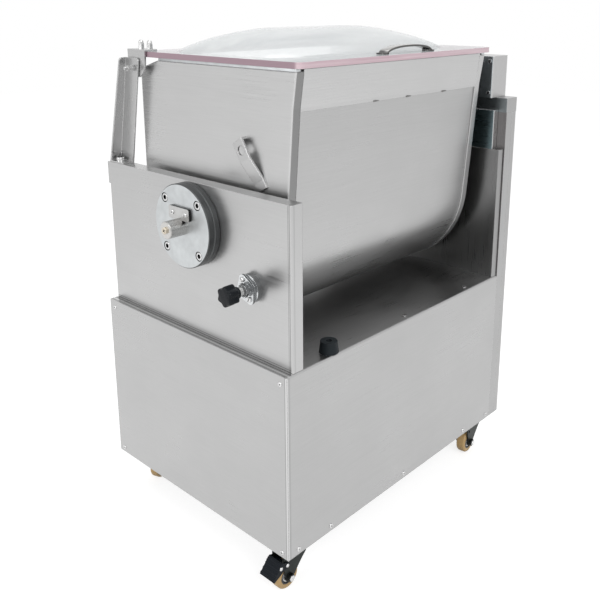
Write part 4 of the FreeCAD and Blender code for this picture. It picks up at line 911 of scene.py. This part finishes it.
for x in (bow_middle - bow_half, bow_middle + bow_half):
    foot = bmesh.new()
    bmesh.ops.create_cube(foot, size=1.0)
    bmesh.ops.scale(foot, verts=foot.verts, vec=(2 * foot_half, strap_high.y - strap_low.y, foot_thick))
    uprights = [edge for edge in foot.edges if abs(edge.verts[0].co.z - edge.verts[1].co.z) > foot_thick / 2]
    bmesh.ops.bevel(foot, geom=uprights, offset=0.004, offset_type="OFFSET", segments=5, profile=0.5,
                    affect="EDGES", material=-1)
    place = (x, (strap_low.y + strap_high.y) / 2, strap_low.z + foot_thick / 2)
    bmesh.ops.translate(foot, verts=foot.verts, vec=place)
    feet.append(foot)
keep_piece("bow_handle", gather([bow] + feet), [bow_steel], "lid", "stainless", "lid_handle")

# %% [markdown]
# ## The heads' top strips
#
# A flat strip of bright steel closes the gap between each head of the trough and the clear lid,
# so that no meat works its way out. It is a plain bar: a cube, scaled, with its edges bevelled.

# %% Close the gap under the lid
lid_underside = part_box("lid_cover")[0][2]
strip_play = 0.0004
for side in ("left", "right"):
    head_low, head_high = (Vector(corner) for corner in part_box("trough_head_" + side))
    strip_size = Vector((0.008, (head_high.y - head_low.y) * 0.86, lid_underside - head_high.z - strip_play))
    inner_x = head_low.x + 0.0005 if side == "left" else head_high.x - 0.0005 - strip_size.x
    strip = bmesh.new()
    bmesh.ops.create_cube(strip, size=1.0)
    bmesh.ops.scale(strip, verts=strip.verts, vec=strip_size)
    bmesh.ops.bevel(strip, geom=strip.edges[:], offset=0.0003, offset_type="OFFSET", segments=2,
                    profile=0.5, affect="EDGES", material=-1)
    bmesh.ops.translate(strip, verts=strip.verts, vec=(
        inner_x + strip_size.x / 2, head_low.y + 0.001 + strip_size.y / 2, head_high.z + strip_size.z / 2))
    print("The", side, "gap is", round((lid_underside - head_high.z) * 1000, 2), "mm high")
    keep_piece("head_top_strip_" + side, strip, [zinc], "trough", "stainless")

# %% [markdown]
# ## Weld beads under the lip
#
# The pouring lip is tacked to the front wall in a few places. A tack is a short row of
# overlapping, flattened drops, each a little smaller than the last, with a heat-darkened seam.

# %% Lay the tacks
lip_low, lip_high = (Vector(corner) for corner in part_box("pouring_lip"))
lip_mesh = nodes["pouring_lip"].data
lip_foot_y = min(spot.co.y for spot in lip_mesh.vertices if spot.co.z < lip_low.z + 0.001)
tack_spots = (0.36, 0.545, 0.77)
drops = []
drops_per_tack = 6
first_drop = 0.0016
drop_step = 0.0019
for share in tack_spots:
    for number in range(drops_per_tack):
        drop = bmesh.new()
        bmesh.ops.create_uvsphere(drop, u_segments=14, v_segments=8, radius=1.0)
        size = first_drop * (1.0 - 0.09 * number)
        bmesh.ops.scale(drop, verts=drop.verts, vec=(size * 1.3, size * 0.8, size))
        x = lip_low.x + (lip_high.x - lip_low.x) * share + number * drop_step
        bmesh.ops.translate(drop, verts=drop.verts, vec=(x, lip_foot_y, lip_low.z + 0.0006))
        drops.append(drop)
keep_piece("lip_tacks", gather(drops), [weld], "trough", "stainless")

# %% Put the finishes on the model's own pieces
finish_of = {
    "base_pan": steel_x, "left_end_panel": cabinet_y, "front_deck_cover": cabinet_x, "rear_panel": steel_x,
    "left_upright": upright_y, "right_upright": post_steel, "drive_housing": housing_z,
    "housing_cover": housing_z,
    "housing_cap": cap_steel, "switch_guard": guard_steel, "hinge_box": hinge_painted_reflection,
    "trough_shell": shell_steel,
    "trough_head_left": head_left, "trough_head_right": head_right, "pouring_lip": lip_steel,
    "trunnion_left": turned, "trunnion_right": turned, "trough_catches": steel_y, "end_flange": flange_zinc,
    "flange_screws": screw_steel, "bearing_housing": flange_zinc, "end_pin": turned_pin,
    "keeper_plate": dark_edged,
    "trunnion_bushes": bronze, "agitator_shaft": steel_x, "agitator_paddles": steel_z,
    "drive_shaft": turned, "driven_sprocket": screw_steel, "motor_sprocket": screw_steel,
    "drive_chain": screw_steel, "gearbox": cast, "gear_motor": cast, "plunger_housing": bright_zinc,
    "plunger_pin": turned, "plunger_knob": black_plastic, "hinge_post": steel_z, "lid_cover": acrylic,
    "lid_handle": bow_steel, "lid_hinge_brackets": steel_y, "lid_nuts": screw_steel,
    "hinge_pins": screw_steel, "rubber_bumper": black_rubber, "small_screws": screw_steel,
    "panel_screws": screw_steel, "forward_button": green_cap, "reverse_button": green_cap,
    "stop_button": red_cap, "button_plate": black_plastic, "cable_gland": black_plastic,
    "caster_plates": zinc,
}
for corner in corners:
    finish_of["caster_fork_" + corner] = dark_fork
    finish_of["caster_wheel_" + corner] = tyre
    if corner.endswith("left"):
        finish_of["brake_pedal_" + corner] = pedal_plastic
for name, node in nodes.items():
    node.data.materials.clear()
    node.data.materials.append(finish_of[name])
print(len(finish_of), "pieces have their finish")

# %% [markdown]
# ## The solid model's box
#
# The box of the solid model is measured near the top, as cad_bounds. It is not written down
# or compared with the dressed model here.

# %% Import json
import json
